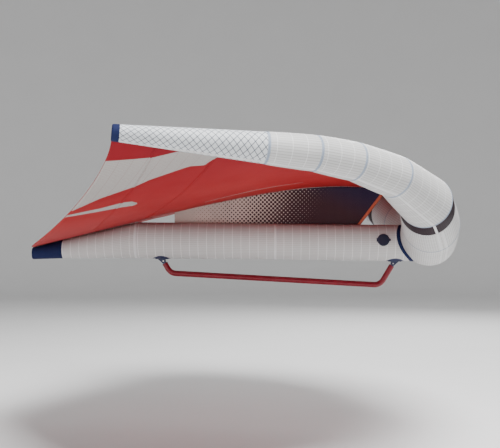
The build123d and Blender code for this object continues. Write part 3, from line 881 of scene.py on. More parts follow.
def stitches(name: str, path: Array, normals: Array, pitch: float = 0.0035,
             sway: float = 0.0, length: float = 0.0026, width: float = 0.0007) -> bpy.types.Object:
    """A row of sewn stitches, each a small pointed bead.

    Args:
        name: The piece's name.
        path: The points that the row follows.
        normals: The cloth's outward directions there.
        pitch: The stitches' spacing, in metres.
        sway: Half a zigzag's width, or 0 for a straight row.
        length: One stitch's length.
        width: Its thickness.
    Returns:
        The object.
    """
    reach = distances(path)
    count = max(2, int(reach[-1] / pitch))
    spots = (np.arange(count) + 0.5) * reach[-1] / count

    def along(values: Array, where: Array) -> Array:
        """The values at those distances along the path."""
        return np.stack([np.interp(where, reach, values[:, i]) for i in range(3)], 1)

    centre, up = along(path, spots), unit(along(normals, spots))
    ahead = unit(along(path, spots + pitch / 2) - along(path, spots - pitch / 2))
    side = np.cross(up, ahead)
    if sway:
        sign = np.where(np.arange(count) % 2, 1.0, -1.0)[:, None]
        ahead = unit(ahead * pitch + side * sign * 2 * sway)
        length = math.hypot(pitch, 2 * sway)
        side = np.cross(up, ahead)
    half, thick = length / 2, width / 2
    ring = [side * thick, up * thick, -side * thick, -up * thick]
    corners = [centre - ahead * half, *[centre + r for r in ring], centre + ahead * half]
    points = np.stack(corners, 1).reshape(-1, 3)
    bead = np.array([(0, 2, 1), (0, 3, 2), (0, 4, 3), (0, 1, 4),
                     (5, 1, 2), (5, 2, 3), (5, 3, 4), (5, 4, 1)])
    faces = (np.arange(count)[:, None, None] * len(corners) + bead[None]).reshape(-1, 3)
    mesh = bpy.data.meshes.new(name)
    mesh.from_pydata(points.tolist(), [], faces.tolist())
    mesh.uv_layers.new(name=WEAVE_MAP)
    mesh.polygons.foreach_set("use_smooth", np.ones(len(faces), bool))
    return add_object(name, mesh)


# ---- tubes
@dataclass
class Ring:
    """A mitre ring across a tube: an ellipse where two round panels meet.

    The run is the way that the panels beside it go. Without one the ring is round.
    """

    centre: Array
    normal: Array
    radius: float
    run: Array | None = None

    def __post_init__(self) -> None:
        """Work out the ring's own directions."""
        self.normal = unit(self.normal)
        self.up = unit(UPWARD - self.normal * self.normal[2])
        self.front = np.cross(self.up, self.normal)
        self.stretch = np.zeros(3)
        if self.run is not None:
            lean = self.run - self.normal * (self.run @ self.normal)
            if np.linalg.norm(lean) > 1e-6:
                self.stretch = unit(lean) * math.sqrt(1 / (self.run @ self.normal) - 1)

    def rim(self, angles: Array, grow: float = 0.0, slanted: bool = True) -> Array:
        """Points of the rim.

        Args:
            angles: Degrees forward of the top.
            grow: How far outside the rim.
            slanted: Whether to follow the slanted cut's ellipse.
        Returns:
            One point for each angle.
        """
        turn = np.radians(angles)
        arm = np.outer(np.cos(turn), self.up) + np.outer(np.sin(turn), self.front)
        if slanted:
            arm = arm + np.outer(arm @ self.stretch, self.stretch)
        return self.centre + arm * (self.radius + grow)


@dataclass
class Panel:
    """One sleeve panel between two rings, a little fuller between its seams."""

    start: Ring
    end: Ring
    bulge: float = 0.0022
    pucker: float = 0.0007
    seed: int = 1
    seam_half: float = 0.006

    def __post_init__(self) -> None:
        """Measure the panel and draw its puckers' phases."""
        self.length = float(np.linalg.norm(self.end.centre - self.start.centre))
        self.radius = (self.start.radius + self.end.radius) / 2
        draw = np.random.default_rng(self.seed)
        self.waves = [(draw.integers(17, 41), draw.uniform(0, 2 * math.pi)) for _ in range(8)]

    def fullness(self, reach: Array, angles: Array) -> Array:
        """How far the cloth stands outside the straight cone.

        Args:
            reach: Distances from the start, in metres.
            angles: Degrees forward of the top.
        Returns:
            The offsets, rows by columns.
        """
        share = np.clip(reach / self.length, 0.0, 1.0)[:, None]
        full = self.bulge * np.sqrt(np.clip(4 * share * (1 - share), 0, 1))
        turn = np.radians(angles)[None, :]
        for first, away in ((0, reach), (4, self.length - reach)):
            ripple = sum(np.sin(n * turn + phase) for n, phase in self.waves[first:first + 4]) / 2
            fade = np.exp(-np.abs(away) / 0.035) * smooth((away - self.seam_half) / 0.010)
            full = full + self.pucker * ripple * fade[:, None]
        return full

    def surface(self, reach: Array, angles: Array, lift: float = 0.0) -> Array:
        """Points of the inflated cloth.

        Args:
            reach: Distances from the start, in metres.
            angles: Degrees forward of the top.
            lift: A height over the cloth.
        Returns:
            The points, rows by columns by three.
        """
        share = (reach / self.length)[:, None, None]
        low, high = self.start.rim(angles)[None], self.end.rim(angles)[None]
        axis = self.start.centre * (1 - share) + self.end.centre * share
        skin = low * (1 - share) + high * share
        outward = unit(skin - axis)
        return skin + outward * (self.fullness(reach, angles) + lift)[..., None]

    def outward(self, reach: Array, angles: Array) -> Array:
        """The outward directions at those places."""
        return unit(self.surface(reach, angles, 0.01) - self.surface(reach, angles))

    def rows(self) -> Array:
        """The panel's rows of points.

        Returns:
            Distances along it, close together near its seams.
        """
        near = np.array([0.0, 0.003, 0.006, 0.009, 0.012, 0.016, 0.021, 0.027, 0.034, 0.042])
        near = near[near < self.length * 0.4]
        count = max(2, round((self.length - 2 * near[-1]) / 0.012))
        inner = np.linspace(near[-1], self.length - near[-1], count + 1)
        return np.concatenate([near[:-1], inner, self.length - near[:-1][::-1]])

    def weave(self, reach: Array, angles: Array) -> Array:
        """The weave map there: metres along and round the panel."""
        return weave_map(reach, np.radians(angles) * self.radius)


def mirrored(points: Array, side: Side) -> Array:
    """Points of the right-hand half, placed on one side."""
    return points * np.array([1.0, -1.0, 1.0]) if side is Side.LEFT else points


PANEL_BULGES = {"band": 0.0004, "tip": 0.0008}
PANEL_PUCKERS = {"inner": 0.0003, "band": 0.0003}
FIRST_PANEL_SEED = 3


@dataclass
class LeadingEdge:
    """The leading-edge tube: panels between mitre rings, taped seams and tip caps.

    Each row of the table is a ring's X, distance out, Z and diameter, in metres.
    """

    table: tuple = ((0.761, 0.0, 0.207, 0.278), (0.711, 0.417, 0.271, 0.261),
                    (0.632, 0.804, 0.363, 0.226), (0.475, 1.033, 0.458, 0.172),
                    (0.302, 1.182, 0.509, 0.150), (0.145, 1.286, 0.533, 0.136),
                    (-0.038, 1.355, 0.548, 0.119), (-0.590, 1.450, 0.596, 0.060))
    band_width: float = 0.125
    cap_length: float = 0.026
    wall: float = 0.0012
    tape_angle: float = 158.0
    second_tape_angle: float = 146.0
    tape_half: float = 0.0055
    columns: int = 144
    bladder_inset: float = 0.0045
    rings: list = field(default_factory=list)
    panels: dict = field(default_factory=dict)

    def __post_init__(self) -> None:
        """Place the rings and the panels of the right-hand half."""
        centres = [np.array([x, -out, z]) for x, out, z, _ in self.table]
        runs = [unit(b - a) for a, b in zip(centres, centres[1:])]
        normals = [np.array([0.0, -1.0, 0.0]), *[a + b for a, b in zip(runs, runs[1:])], runs[-1]]
        self.rings = [Ring(c, n, row[3] / 2, run) for c, n, row, run
                      in zip(centres, normals, self.table, [*runs, runs[-1]])]
        band = self.ring_before(1, self.band_width)
        names = ["middle", "inner", "band", "shoulder", "outer_1", "outer_2", "outer_3", "tip"]
        ends = [self.rings[0], self.rings[1], band, *self.rings[2:]]
        for number, name in enumerate(names):
            self.panels[name] = Panel(
                ends[number], ends[number + 1], PANEL_BULGES.get(name, Panel.bulge),
                PANEL_PUCKERS.get(name, Panel.pucker), seed=number + FIRST_PANEL_SEED)

    def ring_before(self, number: int, distance: float) -> Ring:
        """The ring square across a panel, short of its outer end.

        Args:
            number: The ring where the panel starts.
            distance: How far short of its outer end.
        Returns:
            The ring.
        """
        start, end = self.rings[number], self.rings[number + 1]
        run = end.centre - start.centre
        share = 1 - distance / np.linalg.norm(run)
        return Ring(start.centre + run * share, run, start.radius + (end.radius - start.radius) * share)

    def angles(self, count: int) -> Array:
        """Angles round the tube, starting at the long seam."""
        return self.tape_angle + np.arange(count) * 360.0 / count

    def sleeve(self, key: str, side: Side) -> bpy.types.Object:
        """One closed sleeve panel.

        Args:
            key: The panel.
            side: The half of the wing.
        Returns:
            The sleeve.
        """
        panel = self.panels[key]
        reach, angles = panel.rows(), self.angles(self.columns)
        weave = panel.weave(reach, full_turn(angles))
        points = mirrored(panel.surface(reach, angles), side)
        name = f"leading_edge_{key}_panel_{side.label}"
        return Cloth(name, points, weave, True, self.wall).build(flip=side is Side.RIGHT)

    def middle_sleeve(self) -> bpy.types.Object:
        """The sleeve across the middle, made from its two mirrored halves.

        Returns:
            The sleeve.
        """
        panel = self.panels["middle"]
        reach, angles = panel.rows(), self.angles(self.columns)
        right = panel.surface(reach, angles)
        left = mirrored(right, Side.LEFT)
        points = np.concatenate([left[::-1], right[1:]])
        weave = panel.weave(np.concatenate([-reach[::-1], reach[1:]]), full_turn(angles))
        return Cloth("leading_edge_middle_panel", points, weave, True, self.wall).build(flip=True)

    def mitre_tape(self, before: str, after: str, side: Side, finish: str) -> None:
        """The tape over one mitre seam, with its zigzag stitching.

        Args:
            before: The panel inside the seam.
            after: The panel outside it.
            side: The half of the wing.
            finish: The tape's finish.
        """
        first, second, half = self.panels[before], self.panels[after], self.tape_half
        angles = self.angles(self.columns)
        inside = first.surface(first.length - np.array([half, half * 0.85, half * 0.4]), angles)
        outside = second.surface(np.array([0.0, half * 0.4, half * 0.85, half]), angles)
        grid = np.concatenate([inside, outside])
        lifts = np.array([0.0, 0.6, 0.7, 0.7, 0.7, 0.6, 0.0]) * 0.001
        axis = second.start.centre
        outward = unit(grid - axis)
        grid = mirrored(grid + outward * lifts[:, None, None], side)
        along = np.array([-half, -half * 0.85, -half * 0.4, 0.0, half * 0.4, half * 0.85, half])
        weave = second.weave(along, full_turn(angles))
        name = f"mitre_tape_{after}_{side.label}"
        tape = Cloth(name, grid, weave, True, 0.0006).build(flip=side is Side.RIGHT)
        dress(tape, finish, "tube_sleeve")
        ring = mirrored(second.surface(np.zeros(1), np.append(angles, angles[0]), 0.0009)[0], side)
        thread = stitches(f"mitre_stitching_{after}_{side.label}", ring,
                          unit(ring - mirrored(axis, side)), sway=0.0019)
        dress(thread, "thread_navy", "tube_sleeve")

    def long_tape(self, key: str, angle: float, label: str, side: Side) -> None:
        """A straight taped seam along one panel.

        Args:
            key: The panel.
            angle: The seam's place, in degrees forward of the top.
            label: The word that tells this seam from the others.
            side: The half of the wing.
        """
        panel, half = self.panels[key], self.tape_half
        spread = np.degrees(np.array([-1.0, -0.85, 0.0, 0.85, 1.0]) * half / panel.radius)
        reach = panel.rows()
        lifts = np.array([0.0, 0.5, 0.6, 0.5, 0.0]) * 0.001
        grid = panel.surface(reach, angle + spread)
        grid = mirrored(grid + panel.outward(reach, angle + spread) * lifts[None, :, None], side)
        weave = panel.weave(reach, angle + spread)
        tape = Cloth(f"long_tape_{label}_{key}_{side.label}", grid, weave, False, 0.0005)
        dress(tape.build(flip=side is Side.RIGHT), "white_tape", "tube_sleeve")
        for number, offset in enumerate((-0.6, 0.6)):
            spot = np.array([angle + math.degrees(offset * half / panel.radius)])
            path = mirrored(panel.surface(reach, spot, 0.0007)[:, 0], side)
            normals = mirrored(panel.outward(reach, spot)[:, 0], side)
            thread = stitches(f"long_stitching_{label}_{key}_{number}_{side.label}", path, normals)
            dress(thread, "thread_white", "tube_sleeve")

    def tip_cap(self, side: Side) -> None:
        """The sewn navy cap over one tip.

        Args:
            side: The half of the wing.
        """
        start, tip = self.ring_before(6, self.cap_length), self.rings[7]
        run = unit(tip.centre - start.centre)
        depth = np.array([0.0, 0.0006, 0.004, 0.012, 0.020, 0.0255, 0.0275, 0.0286, 0.029, 0.029])
        grow = np.array([0.0003, 0.0014, 0.0015, 0.0016, 0.0016, 0.0012, -0.0004, -0.004, -0.015,
                         -tip.radius])
        angles = self.angles(72)
        slope = (tip.radius - start.radius) / self.cap_length
        rows = []
        for reach, extra in zip(depth, grow):
            radius = start.radius + slope * min(reach, self.cap_length)
            rows.append(Ring(start.centre + run * reach, run, radius).rim(angles, extra))
        points = mirrored(np.stack(rows), side)
        around = np.radians(full_turn(angles)) * tip.radius
        along = np.cumsum(np.concatenate([[0.0], np.hypot(np.diff(depth), np.diff(grow))]))
        weave = weave_map(along, around)
        cap = Cloth(f"tip_cap_{side.label}", points, weave, True, 0.0010).build(flip=side is Side.RIGHT)
        dress(cap, "navy_webbing", "navy_webbing", f"leading_edge_tip_cap_{side.label}")
        for number, reach in enumerate((0.0035, 0.0065)):
            radius = start.radius + slope * reach
            ring = Ring(start.centre + run * reach, run, radius)
            path = ring.rim(np.append(angles, angles[0]), 0.0017)
            thread = stitches(f"tip_cap_stitching_{number}_{side.label}", mirrored(path, side),
                              mirrored(unit(path - ring.centre), side))
            dress(thread, "thread_navy", "navy_webbing")

    def bladder(self) -> None:
        """The air bladder inside the sleeves, from tip to tip."""
        angles, inset = self.angles(64), -self.bladder_inset
        reach_rings = [*self.rings[:-1], self.ring_before(6, 0.008)]
        right = [ring.rim(angles, inset) for ring in reach_rings]
        last = reach_rings[-1]
        for share, step in ((0.8, 0.0015), (0.45, 0.0028), (0.0, 0.003)):
            rim = last.rim(angles, inset) - last.centre
            right.append(last.centre + rim * share + last.normal * step)
        dense = [right[0]]
        for first, second in zip(right, right[1:]):
            count = max(1, int(np.linalg.norm(second[0] - first[0]) / 0.03))
            dense += [first + (second - first) * k / count for k in range(1, count + 1)]
        half = np.stack(dense)
        points = np.concatenate([mirrored(half, Side.LEFT)[::-1], half[1:]])
        along = np.linspace(0.0, 4.0, len(points))
        weave = weave_map(along, np.linspace(0.0, 0.8, len(angles) + 1))
        film = Cloth("air_bladder_leading_edge", points, weave, True, 0.0004).build(flip=True)
        dress(film, "film", "bladder_film", "leading_edge_bladder")

    def build(self) -> None:
        """Make every piece of the tube."""
        middle = self.middle_sleeve()
        dress(middle, "sleeve", "tube_sleeve", "leading_edge_middle_sleeve")
        nodes = {"inner": "inner_sleeve", "band": "band", "shoulder": "shoulder_sleeve",
                 "outer_1": "outer_sleeve_1", "outer_2": "outer_sleeve_2",
                 "outer_3": "outer_sleeve_3", "tip": "tip_sleeve"}
        finishes = {"band": ("band", "printed_band"), "tip": ("tip", "tip_ply")}
        for side in Side:
            for key, node in nodes.items():
                finish, slot = finishes.get(key, ("sleeve", "tube_sleeve"))
                piece = dress(self.sleeve(key, side), finish, slot, f"leading_edge_{node}_{side.label}")
            keys = ["middle", *nodes]
            for before, after in zip(keys, keys[1:]):
                # Every mitre tape but the band's takes the seam finish, whose blue-grey is painted seam
                # shadow.
                self.mitre_tape(before, after, side, "sleeve" if after == "band" else "seam")
            for key in keys:
                self.long_tape(key, self.tape_angle, "main", side)
            for key in ("middle", "inner"):
                self.long_tape(key, self.second_tape_angle, "second", side)
            self.tip_cap(side)
        self.bladder()


# ---- strut
@dataclass
class Strut:
    """The centre strut: three sleeves, a tail cap and the collar at the leading edge.

    The tail and the end are each a ring's X, Z and radius. The front sleeve fills in front_x,
    the X where the strut meets the leading edge at each angle.
    """

    radius: float = 0.0875
    rear_seam: float = -0.687
    rear_seam_z: float = 0.193
    slope: float = -14 / 1307
    front_seam: float = 0.0
    tail: tuple = (-1.064, 0.147, 0.043)
    end: tuple = (-1.203, 0.128, 0.028)
    wall: float = 0.0012
    columns: int = 144
    collar_width: float = 0.018
    valve_radius: float = 0.0165
    valve_x: float = 0.528
    probe_x: float = 0.2
    front_length: float = 0.7
    front_bulge: float = 0.0006
    bladder_inset: float = 0.0040
    front_x: Array | None = None

    def axis_z(self, x: float | Array) -> float | Array:
        """The axis's height at X."""
        return self.rear_seam_z + self.slope * (x - self.rear_seam)

    def centre(self, x: float) -> Array:
        """The axis's point at X."""
        return np.array([x, 0.0, self.axis_z(x)])

    def ahead(self) -> Array:
        """The axis's direction, one metre forward."""
        return np.array([1.0, 0.0, self.slope])

    def ring(self, x: float) -> Ring:
        """The upright ring at X."""
        return Ring(self.centre(x), FORWARD, self.radius)

    def tail_ring(self) -> Ring:
        """The small ring where the tail cap starts."""
        x, z, radius = self.tail
        return Ring(np.array([x, 0.0, z]), FORWARD, radius)

    def angles(self, count: int) -> Array:
        """Angles round the strut, starting underneath."""
        return 180.0 + np.arange(count) * 360.0 / count

    def valve_axis(self) -> tuple[Array, Array]:
        """Where the valve goes through the skin.

        Returns:
            Its place on the skin and its outward direction.
        """
        low, high = (np.array(corner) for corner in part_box("valve_poppet"))
        middle = (low + high) / 2
        outward = middle - self.centre(middle[0])
        outward[0] = 0.0
        outward = unit(outward)
        return self.centre(self.valve_x) + outward * self.radius, outward

    def meets_tube(self, points: Array, tube: bpy.types.Object) -> Array:
        """Where lines forward from the strut's skin meet the leading-edge tube.

        Args:
            points: Points of the strut's skin.
            tube: The leading edge's middle sleeve.
        Returns:
            The X of each meeting point.
        """
        ahead = Vector((1.0, 0.0, self.slope)).normalized()
        hits = []
        for point in points:
            found, place, _, _ = tube.ray_cast(Vector(point), ahead)
            hits.append(place.x if found else np.nan)
        return np.array(hits)

    def lengthwise(self, name: str, rows: list[Array], angles: Array, hole: tuple | None = None,
                   wall: float | None = None) -> bpy.types.Object:
        """A closed skin from rings of points along the strut.

        Args:
            name: The piece's name.
            rows: The rings, from rear to front.
            angles: Their angles.
            hole: What Cloth.build leaves out.
            wall: The wall's thickness.
        Returns:
            The object.
        """
        points = np.stack(rows)
        along = points[:, :, 0:1]
        around = np.radians(full_turn(angles)) * self.radius
        weave = np.concatenate([np.concatenate([along, along[:, :1]], 1),
                                np.broadcast_to(around[None, :, None], (len(rows), len(around), 1))], 2)
        cloth = Cloth(name, points, weave, True, self.wall if wall is None else wall)
        return cloth.build(hole=hole)

    def front_sleeve(self, tube: bpy.types.Object) -> None:
        """The front sleeve, which ends on the leading-edge tube.

        Args:
            tube: The leading edge's middle sleeve.
        """
        angles = self.angles(self.columns)
        back, front = self.ring(self.front_seam), self.ring(self.front_seam + self.front_length)
        plain = Panel(back, front, 0.0, 0.0)
        start = plain.surface(np.zeros(1), angles)[0]
        self.front_x = self.meets_tube(plain.surface(np.array([self.probe_x]), angles)[0], tube)
        reach = self.front_x - self.front_seam + 0.002
        outward = unit(start - self.centre(self.front_seam))
        rows = []
        for share in np.linspace(0.0, 1.0, 74):
            full = self.front_bulge * np.sqrt(np.clip(1 - (2 * share - 1) ** 2, 0, 1))
            rows.append(start + (reach * share)[:, None] * self.ahead() + outward * full)
        origin, axis = self.valve_axis()
        piece = self.lengthwise("strut_front_panel", rows, angles, (origin, axis, self.valve_radius))
        dress(piece, "strut", "tube_sleeve", "strut_front_sleeve")

    def middle_and_rear(self) -> None:
        """The two plain sleeves behind the front one."""
        angles = self.angles(self.columns)
        parts = {"strut_middle_panel": (self.ring(self.rear_seam), self.ring(self.front_seam),
                                        "strut_middle_sleeve"),
                 "strut_rear_panel": (self.tail_ring(), self.ring(self.rear_seam),
                                      "strut_rear_sleeve")}
        for number, (name, (start, end, node)) in enumerate(parts.items()):
            panel = Panel(start, end, 0.0006, 0.0004, 30 + number)
            rows = list(panel.surface(panel.rows(), angles))
            piece = dress(self.lengthwise(name, rows, angles), "strut", "tube_sleeve", node)

    def tail_cap(self) -> None:
        """The navy cap that closes the tail."""
        angles = self.angles(96)
        (x0, z0, r0), (x1, z1, r1) = self.end, self.tail
        shares = [0.0, 0.0, 0.0, 0.004, 0.02, 0.05, 0.15, 0.35, 0.55, 0.75, 0.93, 0.985, 1.0]
        scale = [0.0, 0.55, 0.86, 0.955, 0.99, 1.0, 1.0, 1.0, 1.0, 1.0, 1.0, 1.0, 0.985]
        rows = []
        for share, size in zip(shares, scale):
            centre = np.array([x0 + (x1 - x0) * share, 0.0, z0 + (z1 - z0) * share])
            radius = (r0 + (r1 - r0) * share) * size
            rows.append(Ring(centre, FORWARD, radius).rim(angles))
        cap = self.lengthwise("strut_tail_end", rows, angles, wall=0.0015)
        dress(cap, "navy_webbing", "navy_webbing", "strut_tail_cap")

    def ring_tape(self, name: str, start: Ring, end: Ring, reach: float, half: float, finish: str,
                  thread: str) -> None:
        """A tape round the strut with two rows of stitches.

        Args:
            name: The tape's name.
            start: The ring that the distance is measured from.
            end: A ring towards the other end.
            reach: The tape's middle, in metres from the start.
            half: Half its width.
            finish: Its finish.
            thread: The thread's finish.
        """
        panel = Panel(start, end, 0.0, 0.0)
        angles = self.angles(self.columns)
        spots = reach + half * np.array([-1.0, -0.9, 0.0, 0.9, 1.0])
        lifts = (0.0002, 0.0009, 0.0011, 0.0009, 0.0002)
        rows = [panel.surface(np.array([spot]), angles, lift)[0] for spot, lift in zip(spots, lifts)]
        tape = self.lengthwise(name, rows, angles, wall=0.0008)
        dress(tape, finish, "tube_sleeve")
        for number, offset in enumerate((-0.55, 0.55)):
            spot, whole = np.array([reach + half * offset]), np.append(angles, angles[0])
            path = panel.surface(spot, whole, 0.0013)[0]
            row = stitches(f"{name}_stitching_{number}", path, unit(path - self.centre(path[0, 0])))
            dress(row, thread, "tube_sleeve")

    def collar(self) -> None:
        """The navy junction patch that follows the leading-edge tube."""
        angles = self.angles(self.columns)
        base = self.ring(self.probe_x).rim(angles)
        outward = unit(base - self.centre(self.probe_x))

        def line(back: float, lift: float) -> Array:
            """The ring that far behind the tube, in collar widths, and over the strut."""
            distance = self.front_x - self.probe_x - self.collar_width * back
            return base + distance[:, None] * self.ahead() + outward * lift

        steps = ((1.0, 0.0004), (0.97, 0.0015), (0.6, 0.0021), (0.25, 0.0023), (-0.08, 0.0026))
        rows = [line(back, lift) for back, lift in steps]
        piece = self.lengthwise("junction_patch", rows, angles, wall=0.001)
        dress(piece, "navy_webbing", "navy_webbing", "junction_collar")
        path = line(0.8, 0.0026)
        path, normals = np.concatenate([path, path[:1]]), np.concatenate([outward, outward[:1]])
        dress(stitches("junction_stitching", path, normals), "thread_navy", "navy_webbing")

    def bladder(self) -> None:
        """The strut's own air bladder."""
        angles, inset = self.angles(self.columns)[::2], self.bladder_inset
        rows = []
        x, z, radius = self.tail
        tail = np.array([x + 0.012, 0.0, z])
        for step, share in ((0.0, 0.0), (0.001, 0.5), (0.004, 0.85), (0.010, 0.98)):
            centre = tail + np.array([step, 0.0, 0.0])
            rows.append(Ring(centre, FORWARD, (radius - inset) * share).rim(angles))
        rows.append(self.ring(self.rear_seam).rim(angles, -inset))
        base = self.ring(0.0).rim(angles, -inset)
        reach = self.front_x[::2] - inset
        for share in np.linspace(0.0, 1.0, 44):
            rows.append(base + (reach * share)[:, None] * self.ahead())
        middle = rows[-1].mean(0)
        rows += [middle + (rows[-1] - middle) * share for share in (0.7, 0.35, 0.0)]
        origin, axis = self.valve_axis()
        film = self.lengthwise("air_bladder_strut", rows, angles, (origin, axis, 0.018), 0.0004)
        dress(film, "film", "bladder_film", "strut_bladder")

    def build(self, tube: bpy.types.Object) -> None:
        """Make every piece of the strut.

        Args:
            tube: The leading edge's middle sleeve.
        """
        self.front_sleeve(tube)
        self.middle_and_rear()
        self.tail_cap()
        back, seam = self.ring(self.rear_seam), self.ring(self.front_seam)
        self.ring_tape("strut_seam_middle", back, seam, self.front_seam - self.rear_seam, 0.006,
                       "white_tape", "thread_white")
        self.ring_tape("strut_seam_rear", back, seam, 0.0, 0.006, "white_tape", "thread_white")
        self.ring_tape("strut_tail_binding", self.tail_ring(), back, 0.004, 0.008,
                       "navy_webbing", "thread_navy")
        self.collar()
        self.bladder()


# ---- canopy and web
@dataclass
class Canopy:
    """One stretched sheet from the leading-edge tube to the trailing edge.

    The plan is the trailing edge's control points, as X and distance out. The hem angles and
    the cambers have one value for each ring of the tube.
    """

    tube: LeadingEdge
    plan: tuple = ((-1.203, 0.0), (-1.147, 0.509), (-0.633, 1.149), (-0.590, 1.450))
    edge_z: float = 0.159
    tip_rise: float = 0.436
    lift: float = 0.004
    front_angle: float = 37.6
    rear_angle: float = 8.8
    front_handle: float = 0.255
    rear_handle: float = 0.474
    hem_angles: tuple = (33, 22, 8, -12, -28, -42, -55, -60)
    cambers: tuple = (1.0, 0.84, 0.62, 0.44, 0.32, 0.24, 0.16, 0.10)
    tip_gap: float = 0.040
    thickness: float = 0.0012
    hem_width: float = 0.045
    flat_size: tuple = (3.45, 2.02)
    seam_half: float = 0.0045

    def __post_init__(self) -> None:
        """Work out the profile's handles at each ring."""
        rings = [*self.tube.rings[:-1], self.tube.ring_before(6, self.tip_gap)]
        self.rings = rings
        steps = [np.linalg.norm(b.centre - a.centre) for a, b in zip(rings, rings[1:])]
        self.reach = np.concatenate([[0.0], np.cumsum(steps)])
        stations = [self.profile(ring.rim(np.array([angle]), self.lift, False)[0], camber)
                    for ring, angle, camber in zip(rings, self.hem_angles, self.cambers)]
        self.handles = np.array([np.concatenate([p[1], p[2]]) for p in stations])
        self.slopes = np.gradient(self.handles, self.reach, axis=0)
        self.slopes[0, [0, 2, 3, 5]] = 0.0

    def trailing_edge(self, out: float) -> Array:
        """A point of the trailing edge.

        Args:
            out: Its distance from the middle, in metres.
        Returns:
            The point.
        """
        plan = np.array(self.plan)
        low, high = 0.0, 1.0
        for _ in range(40):
            share = (low + high) / 2
            if self.cubic(plan, np.array([share]))[0, 1] < out:
                low = share
            else:
                high = share
        rise = self.tip_rise * (out / plan[-1, 1]) ** 2
        return np.array([self.cubic(plan, np.array([low]))[0, 0], -out, self.edge_z + rise])

    @staticmethod
    def cubic(points: Array, shares: Array) -> Array:
        """Points of a cubic curve.

        Args:
            points: Its four control points.
            shares: Shares of the curve, from 0 to 1.
        Returns:
            The points.
        """
        t = shares[:, None]
        rest = 1 - t
        return (points[0] * rest ** 3 + 3 * points[1] * rest ** 2 * t
                + 3 * points[2] * rest * t ** 2 + points[3] * t ** 3)

    def profile(self, front: Array, camber: float) -> list[Array]:
        """One profile of the sheet.

        Args:
            front: Its point on the tube.
            camber: How full it is, as a share of the middle profile.
        Returns:
            Its control points, from the tube back.
        """
        rear = self.trailing_edge(-front[1])
        chord = front - rear
        length = float(np.linalg.norm(chord))
        slope = math.degrees(math.asin(chord[2] / length))
        up, back = (math.radians(self.front_angle * camber - slope),
                    math.radians(self.rear_angle * camber + slope))
        ahead = np.array([-math.cos(up), 0.0, math.sin(up)]) * self.front_handle * length
        behind = np.array([math.cos(back), 0.0, math.sin(back)]) * self.rear_handle * length
        return [front, front + ahead, rear + behind, rear]

    def span(self, reach: float) -> int:
        """The number of the ring before that distance along the tube."""
        return int(np.clip(np.searchsorted(self.reach, reach, "right") - 1, 0, len(self.reach) - 2))

    def hem_point(self, reach: float, grow: float, turn: float = 0.0) -> Array:
        """A point over the tube beside the canopy's front edge.

        Args:
            reach: The distance out along the tube.
            grow: The height over the tube.
            turn: Degrees forward of the front edge.
        Returns:
            The point.
        """
        number = self.span(reach)
        share = (reach - self.reach[number]) / (self.reach[number + 1] - self.reach[number])
        first, second = self.rings[number], self.rings[number + 1]
        low = first.rim(np.array([self.hem_angles[number] + turn]), grow, False)[0]
        high = second.rim(np.array([self.hem_angles[number + 1] + turn]), grow, False)[0]
        return low * (1 - share) + high * share

    def controls(self, reach: float) -> Array:
        """The profile between the rings, blended smoothly from theirs.

        Args:
            reach: The distance out along the tube.
        Returns:
            Its four control points.
        """
        number = self.span(reach)
        width = self.reach[number + 1] - self.reach[number]
        t = (reach - self.reach[number]) / width
        handle = (self.handles[number] * (2 * t ** 3 - 3 * t ** 2 + 1)
                  + self.handles[number + 1] * (3 * t ** 2 - 2 * t ** 3)
                  + self.slopes[number] * width * (t ** 3 - 2 * t ** 2 + t)
                  + self.slopes[number + 1] * width * (t ** 3 - t ** 2))
        front = self.hem_point(reach, self.lift)
        return np.array([front, handle[:3], handle[3:], self.trailing_edge(-front[1])])

    def column(self, reach: float, shares: Array) -> Array:
        """Points of the sheet back from the tube, with small luff ripples.

        Args:
            reach: The distance out along the tube.
            shares: Shares of the profile's curve.
        Returns:
            The points.
        """
        points = self.cubic(self.controls(reach), shares)
        ripple = 0.0016 * math.sin(2 * math.pi * reach / 0.085) * math.sin(2 * math.pi * reach / 0.61)
        fade = np.exp(-shares / 0.05) * smooth(shares / 0.01)
        points[:, 2] += ripple * fade
        return points

    def both_halves(self, grid: Array) -> Array:
        """The right-hand grid joined to its mirror image at the middle."""
        return np.concatenate([mirrored(grid, Side.LEFT)[:, ::-1], grid[:, 1:]], 1)

    def build(self) -> None:
        """Make the sheet, its hems, seams and front tapes."""
        reaches = np.linspace(0.0, self.reach[-1], 164)
        shares = np.concatenate([np.linspace(0, 0.06, 10)[:-1], np.linspace(0.06, 1.0, 98)])
        body = np.stack([self.column(reach, shares) for reach in reaches], 1)
        lead = np.stack([[self.hem_point(r, g, a) for r in reaches]
                         for g, a in ((0.0006, 6.0), (0.0020, 3.5), (0.0034, 1.5))])
        grid = self.both_halves(np.concatenate([lead, body]))
        back = np.linalg.norm(np.diff(grid, axis=0), axis=2)
        chordwise = np.concatenate([np.cumsum(back[::-1], 0)[::-1], np.zeros((1, grid.shape[1]))])
        spanwise = np.broadcast_to(grid[0:1, :, 1] * 1.15, chordwise.shape)
        weave = np.stack([spanwise, chordwise], 2)
        sheet = Cloth("canopy_sheet", grid, weave, False, self.thickness).build()
        dress(sheet, "canopy", "canopy_cloth", "canopy_right", "canopy_left")
        extras = []
        for side in Side:
            extras += self.hem(side)
            extras += self.seams(side)
            extras += self.front_tape(side)

